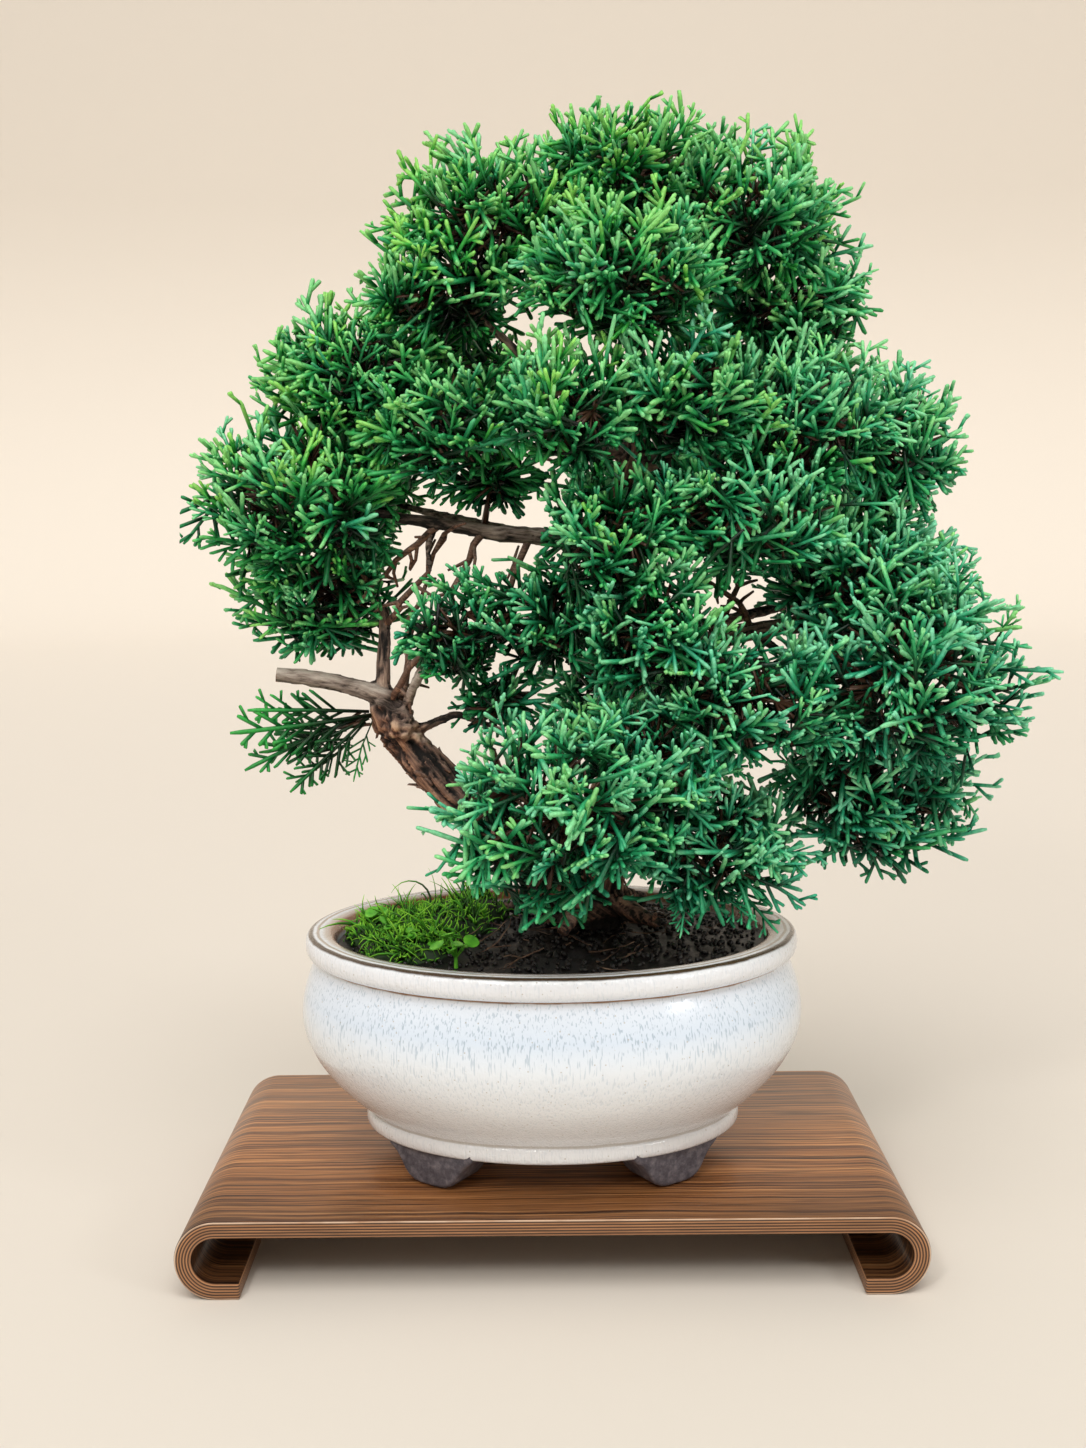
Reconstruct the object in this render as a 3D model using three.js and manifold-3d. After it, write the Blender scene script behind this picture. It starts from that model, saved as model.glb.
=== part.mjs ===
// A kishu juniper grown as a bonsai in a glazed oval pot, on a low stand of bent laminated wood.
// Millimetres, +Z up, the front towards -Y. The origin ends up under the middle of the whole object.
import * as THREE from "three";
import { mergeVertices } from "three/addons/utils/BufferGeometryUtils.js";
import Module from "manifold-3d";

// Stand: one board bent into a half round at each end, its lips turned in along the floor.
const STAND_WIDTH = 224;
const STAND_DEPTH = 125.3;
const STAND_HEIGHT = 24.4;
const BOARD_THICKNESS = 5.3;
const LIP_REACH = 7;

// Pot: an oval bowl with a rolled rim, a foot flange and four feet. Half widths are along X.
const POT_X = 0.6;
const POT_Y = -8.8;
const POT_HEIGHT = 74.3;
const RIM_HALF_WIDTH = 77.4;
const BELLY_HALF_WIDTH = 80;
const NECK_HALF_WIDTH = 75.5;
const FLANGE_HALF_WIDTH = 60.4;
const OVAL_DIFFERENCE = 17.6;
const POT_WALL = 7.2;
const FOOT_HEIGHT = 11.4;
const FOOT_WIDTH = 32;
const FOOT_DEPTH = 15;
const FOOT_ANGLE = 0.807;
const FLOOR_TOP = 19;
const DRAIN_RADIUS = 6;
const DRAIN_X = 27;
const SCREEN_SIDE = 24;
const SCREEN_THICKNESS = 0.9;

// Soil: its surface stands a little under the rim and rises towards the trunk.
const SOIL_EDGE = 70;
const SOIL_CROWN = 76;

// Sides of the turned shapes.
const ROUND_SIDES = 26;

// Gap between pieces that touch.
const SEAT = 0.3;

// Trunk base in the plane of the soil, and how far it stands in its hole.
const TRUNK_BASE = [12, -8];
const TRUNK_HOLE_RADIUS = 15;
const TRUNK_FOOT_RADIUS = 13.6;
const TRUNK_DEPTH = 22;

// Foliage: forked shoots of true thickness stand out all round a small core in every pad.
const SHOOT_RADIUS = 1.9;
const CORE_SHARE = 0.52;
const STEM_STANDS_OUT = 3;
const SHOOT_GAP = 0.35;
const SHOOT_LENGTHS = [1.08, 0.97, 0.86, 0.76];

const wasm = await Module();
wasm.setup();

const COLOURS = {
  walnut: new THREE.MeshStandardMaterial({ color: 0x8a5f41, roughness: 0.5, metalness: 0 }),
  glaze: new THREE.MeshStandardMaterial({ color: 0xe9e6e1, roughness: 0.15, metalness: 0 }),
  screen: new THREE.MeshStandardMaterial({ color: 0x2b2b2b, roughness: 0.6, metalness: 0 }),
  soil: new THREE.MeshStandardMaterial({ color: 0x1b1715, roughness: 0.95, metalness: 0 }),
  bark: new THREE.MeshStandardMaterial({ color: 0x6b5245, roughness: 0.9, metalness: 0 }),
  moss: new THREE.MeshStandardMaterial({ color: 0x4f8f1e, roughness: 0.9, metalness: 0 }),
  seedling: new THREE.MeshStandardMaterial({ color: 0x78b432, roughness: 0.7, metalness: 0 }),
  foliage: new THREE.MeshStandardMaterial({ color: 0x1e6e46, roughness: 0.6, metalness: 0 }),
};

// Repeatable random numbers from 0 to 1.
function randomFrom(seed) {
  let state = seed;
  return () => {
    state = (state * 1664525 + 1013904223) % 4294967296;
    return state / 4294967296;
  };
}

// A closed geometry as a solid that can be joined and cut.
function solidOf(geometry) {
  const bare = geometry.index ? geometry.toNonIndexed() : geometry.clone();
  bare.deleteAttribute("normal");
  bare.deleteAttribute("uv");
  const merged = mergeVertices(bare, 1e-4);
  const corners = merged.index.array;
  const kept = [];
  for (let i = 0; i < corners.length; i += 3) {
    const [a, b, c] = [corners[i], corners[i + 1], corners[i + 2]];
    if (a !== b && b !== c && c !== a) kept.push(a, b, c);
  }
  const vertProperties = merged.attributes.position.array;
  const triVerts = new Uint32Array(kept);
  return new wasm.Manifold(new wasm.Mesh({ numProp: 3, vertProperties, triVerts }));
}

// Joins solids pair by pair, so that each union stays small.
function joined(solids) {
  let left = solids;
  while (left.length > 1) {
    const next = [];
    for (let i = 0; i < left.length; i += 2) {
      next.push(i + 1 < left.length ? left[i].add(left[i + 1]) : left[i]);
    }
    left = next;
  }
  return left[0];
}

function meshOf(name, solid, material) {
  const made = solid.getMesh();
  const geometry = new THREE.BufferGeometry();
  const places = new Float32Array(made.numVert * 3);
  for (let i = 0; i < made.numVert; i++) {
    places.set(made.vertProperties.subarray(i * made.numProp, i * made.numProp + 3), i * 3);
  }
  geometry.setAttribute("position", new THREE.BufferAttribute(places, 3));
  geometry.setIndex(new THREE.BufferAttribute(new Uint32Array(made.triVerts), 1));
  geometry.computeVertexNormals();
  const mesh = new THREE.Mesh(geometry, material);
  mesh.name = name;
  return mesh;
}

// Stand

// The outline of the bent board seen from the front, closed with the board's thickness all round.
function standOutline() {
  const outer = STAND_HEIGHT / 2;
  const inner = outer - BOARD_THICKNESS;
  const middle = STAND_WIDTH / 2 - outer;
  const shape = new THREE.Shape();
  shape.moveTo(middle - LIP_REACH, 0);
  shape.lineTo(middle, 0);
  shape.absarc(middle, outer, outer, -Math.PI / 2, Math.PI / 2, false);
  shape.lineTo(-middle, STAND_HEIGHT);
  shape.absarc(-middle, outer, outer, Math.PI / 2, Math.PI * 1.5, false);
  shape.lineTo(LIP_REACH - middle, 0);
  shape.lineTo(LIP_REACH - middle, BOARD_THICKNESS);
  shape.lineTo(-middle, BOARD_THICKNESS);
  shape.absarc(-middle, outer, inner, Math.PI * 1.5, Math.PI / 2, true);
  shape.lineTo(middle, STAND_HEIGHT - BOARD_THICKNESS);
  shape.absarc(middle, outer, inner, Math.PI / 2, -Math.PI / 2, true);
  shape.lineTo(middle - LIP_REACH, BOARD_THICKNESS);
  shape.closePath();
  return shape;
}

function stand() {
  const board = new THREE.ExtrudeGeometry(standOutline(), {
    depth: STAND_DEPTH,
    bevelEnabled: false,
    curveSegments: 10,
  });
  const mesh = new THREE.Mesh(board, COLOURS.walnut);
  mesh.name = "stand";
  mesh.rotation.x = Math.PI / 2;
  mesh.position.y = STAND_DEPTH / 2;
  return mesh;
}

// Pot

// Presses a turned shape into the pot's oval, narrower front to back by one amount all the way up.
function pressedOval(geometry) {
  geometry.rotateX(Math.PI / 2);
  const at = geometry.attributes.position;
  for (let i = 0; i < at.count; i++) {
    const radius = Math.hypot(at.getX(i), at.getY(i));
    const pressed = radius - OVAL_DIFFERENCE * Math.min(1, radius / FLANGE_HALF_WIDTH);
    if (radius > 0) at.setY(i, (at.getY(i) * pressed) / radius);
  }
  return geometry;
}

function turned(profile, sides) {
  const points = profile.map(([radius, height]) => new THREE.Vector2(radius, height));
  return solidOf(pressedOval(new THREE.LatheGeometry(points, sides)));
}

// The inside of the bowl from the floor to the rim, one wall in from the outside.
function innerProfile(clearance) {
  return [
    [50, FLOOR_TOP + clearance],
    [66 - clearance, 31],
    [BELLY_HALF_WIDTH - POT_WALL - clearance, 48],
    [70.5 - clearance, 58],
    [NECK_HALF_WIDTH - POT_WALL - clearance, 66.5],
  ];
}

function pot() {
  const outside = [
    [0, FOOT_HEIGHT],
    [FLANGE_HALF_WIDTH, FOOT_HEIGHT],
    [FLANGE_HALF_WIDTH + 0.6, FOOT_HEIGHT + 3.6],
    [FLANGE_HALF_WIDTH - 1.6, FOOT_HEIGHT + 5],
    [66, 24],
    [73.5, 33],
    [78.5, 41.5],
    [BELLY_HALF_WIDTH, 48],
    [78.8, 57.5],
    [NECK_HALF_WIDTH, 66.6],
    [RIM_HALF_WIDTH, 68],
    [RIM_HALF_WIDTH + 0.8, 71.5],
    [RIM_HALF_WIDTH, POT_HEIGHT - 0.4],
    [RIM_HALF_WIDTH - 7.9, POT_HEIGHT],
  ];
  const inside = innerProfile(0).reverse();
  const bowl = turned([...outside, ...inside, [0, FLOOR_TOP]], ROUND_SIDES);
  const drains = [-DRAIN_X, DRAIN_X].map((x) => {
    const drain = new THREE.CylinderGeometry(DRAIN_RADIUS, DRAIN_RADIUS, 4 * DRAIN_RADIUS, 12);
    return solidOf(drain.rotateX(Math.PI / 2).translate(x, 0, FLOOR_TOP - DRAIN_RADIUS));
  });
  const body = joined([bowl, ...potFeet()]);
  return meshOf("pot", body.subtract(drains[0]).subtract(drains[1]), COLOURS.glaze);
}

// Four cloud-shaped feet set round the flange, each broad at the top and narrow where it stands.
function potFeet() {
  const top = FOOT_WIDTH / 2;
  const outline = new THREE.Shape();
  outline.moveTo(-top, FOOT_HEIGHT + 1);
  outline.lineTo(-top, FOOT_HEIGHT);
  outline.quadraticCurveTo(-0.72 * top, 0.72 * FOOT_HEIGHT, -0.62 * top, 0.3 * FOOT_HEIGHT);
  outline.quadraticCurveTo(-0.5 * top, 0, -0.2 * top, 0);
  outline.lineTo(0.2 * top, 0);
  outline.quadraticCurveTo(0.5 * top, 0, 0.62 * top, 0.3 * FOOT_HEIGHT);
  outline.quadraticCurveTo(0.72 * top, 0.72 * FOOT_HEIGHT, top, FOOT_HEIGHT);
  outline.lineTo(top, FOOT_HEIGHT + 1);
  outline.closePath();
  const options = { depth: FOOT_DEPTH, bevelEnabled: false, curveSegments: 3 };
  const feet = [];
  for (const [side, front] of [[-1, -1], [1, -1], [1, 1], [-1, 1]]) {
    const across = FLANGE_HALF_WIDTH * Math.cos(FOOT_ANGLE);
    const along = (FLANGE_HALF_WIDTH - OVAL_DIFFERENCE) * Math.sin(FOOT_ANGLE);
    const turn = Math.atan2(-side * front * across, along * 2);
    const foot = new THREE.ExtrudeGeometry(outline, options);
    foot.translate(0, 0, -FOOT_DEPTH / 2).rotateX(Math.PI / 2).rotateZ(turn);
    feet.push(solidOf(foot.translate(side * across * 0.84, front * along * 0.8, 0)));
  }
  return feet;
}

// Two plastic drain screens lie on the floor of the pot over the holes.
function drainScreen(name, x) {
  const pitch = SCREEN_SIDE / 4;
  const opening = pitch * 1.2;
  let sheet = solidOf(new THREE.BoxGeometry(SCREEN_SIDE, SCREEN_SIDE, SCREEN_THICKNESS));
  for (const i of [-1, 1]) {
    for (const j of [-1, 1]) {
      const hole = new THREE.BoxGeometry(opening, opening, 3 * SCREEN_THICKNESS);
      sheet = sheet.subtract(solidOf(hole.translate(i * pitch, j * pitch, 0)));
    }
  }
  const mesh = meshOf(name, sheet, COLOURS.screen);
  mesh.position.set(x, 0, FLOOR_TOP + SEAT + SCREEN_THICKNESS / 2);
  return mesh;
}

// Soil

function soilBody(raise) {
  const surface = [
    [NECK_HALF_WIDTH - POT_WALL - SEAT, SOIL_EDGE + raise],
    [50, SOIL_EDGE + 2.5 + raise],
    [26, SOIL_CROWN - 1.5 + raise],
    [0, SOIL_CROWN + raise],
  ];
  return turned([[0, FLOOR_TOP + SEAT], ...innerProfile(SEAT), ...surface], ROUND_SIDES);
}

function soil() {
  let body = soilBody(0);
  const pocketSide = SCREEN_SIDE + 2 * SEAT;
  const pocketHeight = SCREEN_THICKNESS + 4 * SEAT;
  for (const x of [-DRAIN_X, DRAIN_X]) {
    const pocket = new THREE.BoxGeometry(pocketSide, pocketSide, pocketHeight);
    body = body.subtract(solidOf(pocket.translate(x, 0, FLOOR_TOP + pocketHeight / 2)));
  }
  const [x, y] = [TRUNK_BASE[0] - POT_X, TRUNK_BASE[1] - POT_Y];
  const hole = new THREE.CylinderGeometry(TRUNK_HOLE_RADIUS, TRUNK_HOLE_RADIUS, 2 * TRUNK_DEPTH, 10);
  body = body.subtract(solidOf(hole.rotateX(Math.PI / 2).translate(x, y, SOIL_CROWN)));
  const socket = new THREE.CylinderGeometry(SEEDLING_ROOT + SEAT, SEEDLING_ROOT + SEAT, 12, 8);
  body = body.subtract(solidOf(socket.rotateX(Math.PI / 2).translate(...SEEDLING_PLACE, SOIL_EDGE + 3)));
  return meshOf("soil", body, COLOURS.soil);
}

// Moss and seedlings

// The moss cushion covers the left end of the soil. Each hump is a place, a radius and a height.
const MOSS_HUMPS = [
  [-52, -2, 14, 7],
  [-45, -19, 13, 6],
  [-37, -5, 18, 10],
  [-28, 8, 14, 9],
  [-39, -25, 9, 5],
];
const GRASS_BLADES = 18;
const BLADE_RADIUS = 0.8;
const SEEDLING_PLACE = [-29, -38];
const SEEDLING_ROOT = 1.1;

function moss() {
  const random = randomFrom(5);
  const pieces = MOSS_HUMPS.map(([x, y, radius, height]) => {
    const hump = new THREE.IcosahedronGeometry(1, 1).scale(radius, radius * 0.85, height * 1.3);
    return solidOf(hump.rotateZ(random() * 3).translate(x, y, SOIL_EDGE));
  });
  for (let i = 0; i < GRASS_BLADES; i++) {
    const [x, y, radius, height] = MOSS_HUMPS[i % MOSS_HUMPS.length];
    const angle = random() * 2 * Math.PI;
    const out = radius * 0.8 * Math.sqrt(random());
    const foot = new THREE.Vector3(out * Math.cos(angle), 0.8 * out * Math.sin(angle), SOIL_EDGE + 2);
    foot.x += x;
    foot.y += y;
    const lean = new THREE.Vector3(random() - 0.5, random() - 0.5, 1.1).normalize();
    const tip = foot.clone().addScaledVector(lean, height + 4 + 6 * random());
    pieces.push(solidOf(blade(foot, tip, BLADE_RADIUS)));
  }
  const heap = joined(pieces).subtract(soilBody(SEAT));
  const inside = turned([...mossSpace()], ROUND_SIDES);
  const whole = heap.intersect(inside);
  const largest = whole.decompose().sort((a, b) => b.volume() - a.volume())[0];
  return meshOf("moss", largest, COLOURS.moss);
}

// A three-sided blade of fine grass from its foot to its tip.
function blade(foot, tip, radius) {
  const reach = tip.clone().sub(foot);
  const length = reach.length();
  const cone = new THREE.ConeGeometry(radius, length, 3, 1).translate(0, length / 2, 0);
  const up = new THREE.Vector3(0, 1, 0);
  const turn = new THREE.Quaternion().setFromUnitVectors(up, reach.normalize());
  return cone.applyQuaternion(turn).translate(foot.x, foot.y, foot.z);
}

// The space over the soil that stays clear of the pot's wall and rim.
function mossSpace() {
  return [
    [0, 50],
    [64, 50],
    [66.5, POT_HEIGHT - 6],
    [67.5, POT_HEIGHT],
    [67.5, POT_HEIGHT + 40],
    [0, POT_HEIGHT + 40],
  ];
}

// A small three-leaved seedling plant beside the moss: round leaves on thin stalks from one root.
function seedling() {
  const random = randomFrom(11);
  const [x, y] = SEEDLING_PLACE;
  const crown = new THREE.Vector3(x, y, SOIL_EDGE + 5.5);
  const root = new THREE.CylinderGeometry(SEEDLING_ROOT, SEEDLING_ROOT, 6, 6);
  const pieces = [solidOf(root.rotateX(Math.PI / 2).translate(x, y, crown.z - 2.5))];
  for (let i = 0; i < 5; i++) {
    const turn = (i / 5) * 2 * Math.PI + random();
    const reach = 4 + 3 * random();
    const offset = new THREE.Vector3(Math.cos(turn), Math.sin(turn), 0).multiplyScalar(reach);
    const tip = crown.clone().add(offset).setZ(crown.z + 3.5 + 3 * random());
    pieces.push(solidOf(tube([crown, tip], [0.45, 0.45], 3, 1)));
    const leaf = new THREE.CylinderGeometry(2.3, 2.1, 0.8, 6);
    leaf.rotateX(Math.PI / 2 + 0.3 * (random() - 0.5));
    pieces.push(solidOf(leaf.translate(tip.x, tip.y, tip.z)));
  }
  return meshOf("seedling", joined(pieces), COLOURS.seedling);
}

// Wood

// A round limb that tapers: a plain cylinder bent along a smooth curve through the points.
function tube(points, radii, sides, steps, gnarl = 0) {
  const curve = new THREE.CatmullRomCurve3(points);
  const frames = curve.computeFrenetFrames(steps);
  const geometry = new THREE.CylinderGeometry(1, 1, 1, sides, steps);
  const at = geometry.attributes.position;
  for (let i = 0; i < at.count; i++) {
    const share = at.getY(i) + 0.5;
    const step = Math.round(share * steps);
    const between = share * (radii.length - 1);
    const first = Math.min(Math.floor(between), radii.length - 2);
    const radius = THREE.MathUtils.lerp(radii[first], radii[first + 1], between - first);
    const ridge = 1 + gnarl * Math.sin(3 * Math.atan2(at.getZ(i), at.getX(i)) + 4 * step);
    const place = curve.getPointAt(share);
    place.addScaledVector(frames.normals[step], at.getX(i) * radius * ridge);
    place.addScaledVector(frames.binormals[step], -at.getZ(i) * radius * ridge);
    at.setXYZ(i, place.x, place.y, place.z);
  }
  return geometry;
}

// The main line of the trunk, measured from the floor under the middle of the stand.
const TRUNK_LINE = [
  [12, -8, 94],
  [12, -8, 109],
  [16.5, -6, 125],
  [26, -4, 147],
  [33, -2, 171],
  [33, 0, 190],
  [27, 0, 211],
  [23, 2, 232],
  [29, 5, 251],
  [32, 5, 269],
  [26, 3, 288],
  [21, 0, 306],
];
const TRUNK_RADII = [12.5, 11, 9.5, 8.4, 7.4, 6.5, 5.8, 5, 4.3, 3.6, 3, 2.2];

// The heavy first branch that leans out to the left, with the knot where it was cut back.
const LEAN_LINE = [
  [12, -9, 108],
  [-9, -12, 124],
  [-25.5, -12, 138],
  [-37.5, -12, 151],
  [-46.5, -10, 161],
  [-52, -8, 172],
];
const LEAN_RADII = [9, 7.8, 6.6, 6.1, 6.6, 5.2];
const KNOT = { place: [-46.5, -11, 163], radius: 7.4 };

// The bare dead stub that points left from the knot.
const DEAD_STUB_LINE = [
  [-48, -9, 172],
  [-60, -8.5, 176.5],
  [-72, -9, 179],
  [-86.4, -10, 181],
];
const DEAD_STUB_RADII = [4, 3.1, 2.9, 2.6];

// Side twigs with no foliage of their own: points, then the radius at each end.
const BARE_TWIGS = [
  { points: [[-46, -10, 167], [-42.5, -12, 175], [-39, -13, 184]], radii: [2.6, 1.4] },
  { points: [[-44, -10, 162], [-33.7, -13, 168], [-20.4, -17, 167.5], [-13, -22, 164]], radii: [2.4, 1.2] },
  { points: [[-34, -8, 228], [-37, -10, 219], [-36, -12, 212]], radii: [1.8, 1.1] },
  { points: [[64, -8, 193.5], [72, -14, 187], [84, -16, 185]], radii: [2.4, 1.2] },
  { points: [[44, -3, 188], [56, -8, 183], [70, -6, 184]], radii: [2.2, 1.2] },
];

const ROOT_FLARE = [
  [-25, 5],
  [22, -16],
  [20, 17],
  [-8, -24],
];

// Foliage pads

// Each pad is a place over the floor, its half sizes, and the route of the wood that carries it.
// The full ones, at the front and the sides, hold more shoots.
const PADS = {
  apex: { at: [24, 0, 336], half: [29, 27, 21.5], from: [[21, 0, 304], [23, 0, 318]], wood: [2.4, 1.6] },
  apex_left: { at: [-14, -5, 322], half: [32, 29, 23], from: [[22, 0, 300], [8, -2, 314]], wood: [2.2, 1.4] },
  apex_right: {
    at: [60, -9, 319],
    half: [32, 29, 25],
    from: [[23, 1, 298], [40, -4, 311]],
    wood: [2.4, 1.5],
  },
  shoulder_right: {
    at: [78, 4, 296],
    half: [24, 25, 23],
    from: [[31, 5, 272], [52, 4, 286]],
    wood: [2.4, 1.4],
  },
  apex_front: {
    at: [22, -36, 299],
    half: [29, 24, 22],
    from: [[26, 3, 288], [24, -14, 297]],
    wood: [2.2, 1.4],
  },
  shoulder_left: {
    at: [-31, -12, 301],
    half: [24, 23, 19],
    from: [[31.5, 5, 266], [17, -2, 264.5], [3, -8, 269.5], [-7.6, -12, 277.5], [-17, -14, 288]],
    wood: [3, 1.5],
  },
  high_left: {
    at: [-60, 0, 275],
    half: [31, 26, 21],
    from: [[29, 5, 248], [8, 8, 252.5], [-13, 8, 262], [-33, 6, 269]],
    wood: [2.8, 1.6],
  },
  high_left_front: {
    at: [-30, -23, 258],
    half: [27, 22, 18],
    from: [[-13, 8, 262], [-20, -4, 261]],
    wood: [1.8, 1.3],
  },
  far_left: {
    full: true,
    at: [-76, -12, 236],
    half: [30, 28, 27],
    from: [[25, 1, 216], [9, -4, 221], [-5, -6, 223.5], [-21, -8, 224.5], [-35, -8, 228], [-50, -9, 229.5]],
    wood: [3.8, 1.9],
  },
  far_left_under: {
    at: [-74, 6, 206],
    half: [27, 25, 22],
    from: [[-52, -8, 171], [-51.5, -6, 187], [-51, -3, 198], [-54, 1, 205]],
    wood: [3.2, 1.7],
  },
  high_front: { at: [6, -45, 262], half: [24, 20, 20], from: [[9, 8, 252], [8, -14, 255]], wood: [2, 1.4] },
  high_front_right: {
    at: [42, -34, 266],
    half: [26, 22, 22],
    from: [[31, 5, 262], [36, -10, 264]],
    wood: [2, 1.4],
  },
  high_right_front: {
    at: [78, -22, 256],
    half: [29, 24, 23],
    from: [[58, 2, 250], [65, -7, 252]],
    wood: [2, 1.4],
  },
  high_right: {
    at: [109, 4, 252],
    half: [22.5, 24, 25],
    from: [[29, 5, 245], [49, 3, 249], [68, 3, 250], [86, 4, 252]],
    wood: [3.2, 1.6],
  },
  middle_right_front: {
    at: [59, -34, 232],
    half: [29, 24, 20],
    from: [[49, 3, 249], [53, -12, 242]],
    wood: [2, 1.4],
  },
  far_right_upper: {
    at: [100, -14, 211],
    half: [31, 27, 23],
    from: [[74, -9, 195.5], [83, -11, 199]],
    wood: [2.4, 1.5],
  },
  far_right: {
    full: true,
    at: [109, -36, 184],
    half: [36, 32, 31],
    from: [[33, 0, 185], [48.5, -4, 189], [64, -8, 193], [80, -12, 195], [92, -19, 192]],
    wood: [4.4, 1.9],
  },
  far_right_hanging: {
    at: [104, -10, 144],
    half: [31, 28, 28],
    from: [[80, -12, 195], [92, -2, 182], [98, 0, 170]],
    wood: [2.6, 1.5],
  },
  middle_front: {
    at: [19, -42, 224],
    half: [20, 19, 20],
    from: [[25, 1, 219], [21, -20, 222]],
    wood: [2.2, 1.4],
  },
  middle_left_front: {
    at: [-1, -24, 199],
    half: [26, 22, 18],
    from: [[32, 0, 192], [16, -10, 196]],
    wood: [2.4, 1.4],
  },
  low_front_upper: {
    at: [31, -43, 194],
    half: [22.5, 21, 22],
    from: [[33, -1, 188], [32, -18, 191]],
    wood: [2.4, 1.4],
  },
  low_right_front: {
    at: [59, -46, 176],
    half: [26, 22, 21],
    from: [[33, -2, 171], [44, -20, 174]],
    wood: [2.4, 1.4],
  },
  low_front: {
    full: true,
    at: [0, -62, 145],
    half: [31, 28, 28],
    from: [[15, -7, 121], [10, -26, 131], [5, -41, 138]],
    wood: [3, 1.8],
  },
  low_front_right: {
    at: [28, -46, 157],
    half: [25, 22, 21],
    from: [[29, -3, 154], [28, -22, 156]],
    wood: [2.4, 1.4],
  },
  low_right: {
    at: [49, -31, 128],
    half: [31, 26, 21],
    from: [[20, -5, 132], [33, -16, 130]],
    wood: [2.6, 1.5],
  },
  low_left_sprig: {
    at: [-28, -28, 195],
    half: [18, 15, 18],
    from: [[-40.5, -12, 178], [-37, -18, 183]],
    wood: [1.6, 1.2],
  },
  hanging_left_sprig: {
    at: [-79, -7, 159],
    half: [22, 14, 15],
    from: [[-50, -8, 168], [-60, -6, 166]],
    wood: [2, 1.2],
  },
  apex_back: { at: [26, 38, 318], half: [34, 30, 29], from: [[23, 0, 300], [24, 17, 309]], wood: [2.2, 1.5] },
  high_right_back: {
    at: [77, 42, 273],
    half: [34, 30, 29],
    from: [[32, 5, 264], [50, 20, 267]],
    wood: [2.4, 1.5],
  },
  high_left_back: {
    at: [-37, 40, 277],
    half: [32, 29, 26],
    from: [[-13, 8, 262], [-22, 21, 268]],
    wood: [2, 1.4],
  },
  middle_back: {
    at: [44, 48, 240],
    half: [33, 30, 30],
    from: [[25, 3, 236], [34, 24, 238]],
    wood: [2.8, 1.6],
  },
  far_right_back: {
    at: [110, 37, 206],
    half: [34, 31, 29],
    from: [[33, 0, 190], [58, 14, 195], [80, 24, 199]],
    wood: [3, 1.7],
  },
  low_back: { at: [36, 46, 167], half: [35, 30, 30], from: [[33, -2, 169], [34, 18, 168]], wood: [3, 1.6] },
  far_left_back: {
    at: [-70, 33, 239],
    half: [28, 26, 24],
    from: [[-5, -6, 223.5], [-26, 10, 228], [-44, 20, 232]],
    wood: [2.2, 1.4],
  },
};

const asVector = (point) => new THREE.Vector3(...point);

// Where the pad's own stem meets the tip of the wood that carries it.
function stemTip(pad, gap) {
  const centre = asVector(pad.at);
  const last = asVector(pad.from[pad.from.length - 1]);
  const towards = last.sub(centre).normalize();
  const core = CORE_SHARE / towards.clone().divide(asVector(pad.half)).length();
  return centre.addScaledVector(towards, core + STEM_STANDS_OUT - gap);
}

function carrierLine(pad) {
  return [...pad.from.map(asVector), stemTip(pad, 0)];
}

function trunk() {
  const pieces = [];
  const line = TRUNK_LINE.map(asVector);
  pieces.push(solidOf(tube(line, TRUNK_RADII, 8, 11, 0.07)));
  pieces.push(solidOf(tube(LEAN_LINE.map(asVector), LEAN_RADII, 8, 8, 0.09)));
  pieces.push(solidOf(tube(DEAD_STUB_LINE.map(asVector), DEAD_STUB_RADII, 6, 4, 0.08)));
  const knot = new THREE.DodecahedronGeometry(KNOT.radius, 0).scale(1, 0.95, 1.15);
  pieces.push(solidOf(knot.translate(...KNOT.place)));
  for (const twig of BARE_TWIGS) {
    pieces.push(solidOf(tube(twig.points.map(asVector), twig.radii, 4, 2)));
  }
  for (const pad of Object.values(PADS)) {
    const steps = pad.from.length;
    const sides = steps > 2 ? 5 : 3;
    pieces.push(solidOf(tube(carrierLine(pad), pad.wood, sides, steps)));
  }
  const potFloor = STAND_HEIGHT + SEAT;
  const soilTop = potFloor + SOIL_CROWN;
  const footLength = TRUNK_DEPTH + 2;
  const foot = new THREE.CylinderGeometry(TRUNK_FOOT_RADIUS, TRUNK_FOOT_RADIUS * 0.8, footLength, 10);
  foot.rotateX(Math.PI / 2).translate(...TRUNK_BASE, soilTop + 2 - footLength / 2);
  pieces.push(solidOf(foot));
  for (const [x, y] of ROOT_FLARE) {
    const [baseX, baseY] = TRUNK_BASE;
    const root = [
      [baseX, baseY, soilTop + 12],
      [baseX + 0.5 * x, baseY + 0.5 * y, soilTop + 6],
      [baseX + x, baseY + y, soilTop + 2.6],
    ];
    pieces.push(solidOf(tube(root.map(asVector), [7, 4, 2.2], 5, 3)));
  }
  return meshOf("trunk", joined(pieces), COLOURS.bark);
}

// Everything that takes up room in the tree, as straight stretches with a thickness and an owner.
const taken = [];

function take(owner, start, end, radius) {
  const stretch = { owner, line: new THREE.Line3(start.clone(), end.clone()), radius };
  taken.push(stretch);
  return stretch;
}

function isClear(start, end, radius, passed) {
  const line = new THREE.Line3(start, end);
  const [near, other] = [new THREE.Vector3(), new THREE.Vector3()];
  return taken.every((one) => {
    if (passed.includes(one)) return true;
    const room = one.radius + radius + SHOOT_GAP;
    return one.line.distanceSqToLine3(line, near, other) > room * room;
  });
}

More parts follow.
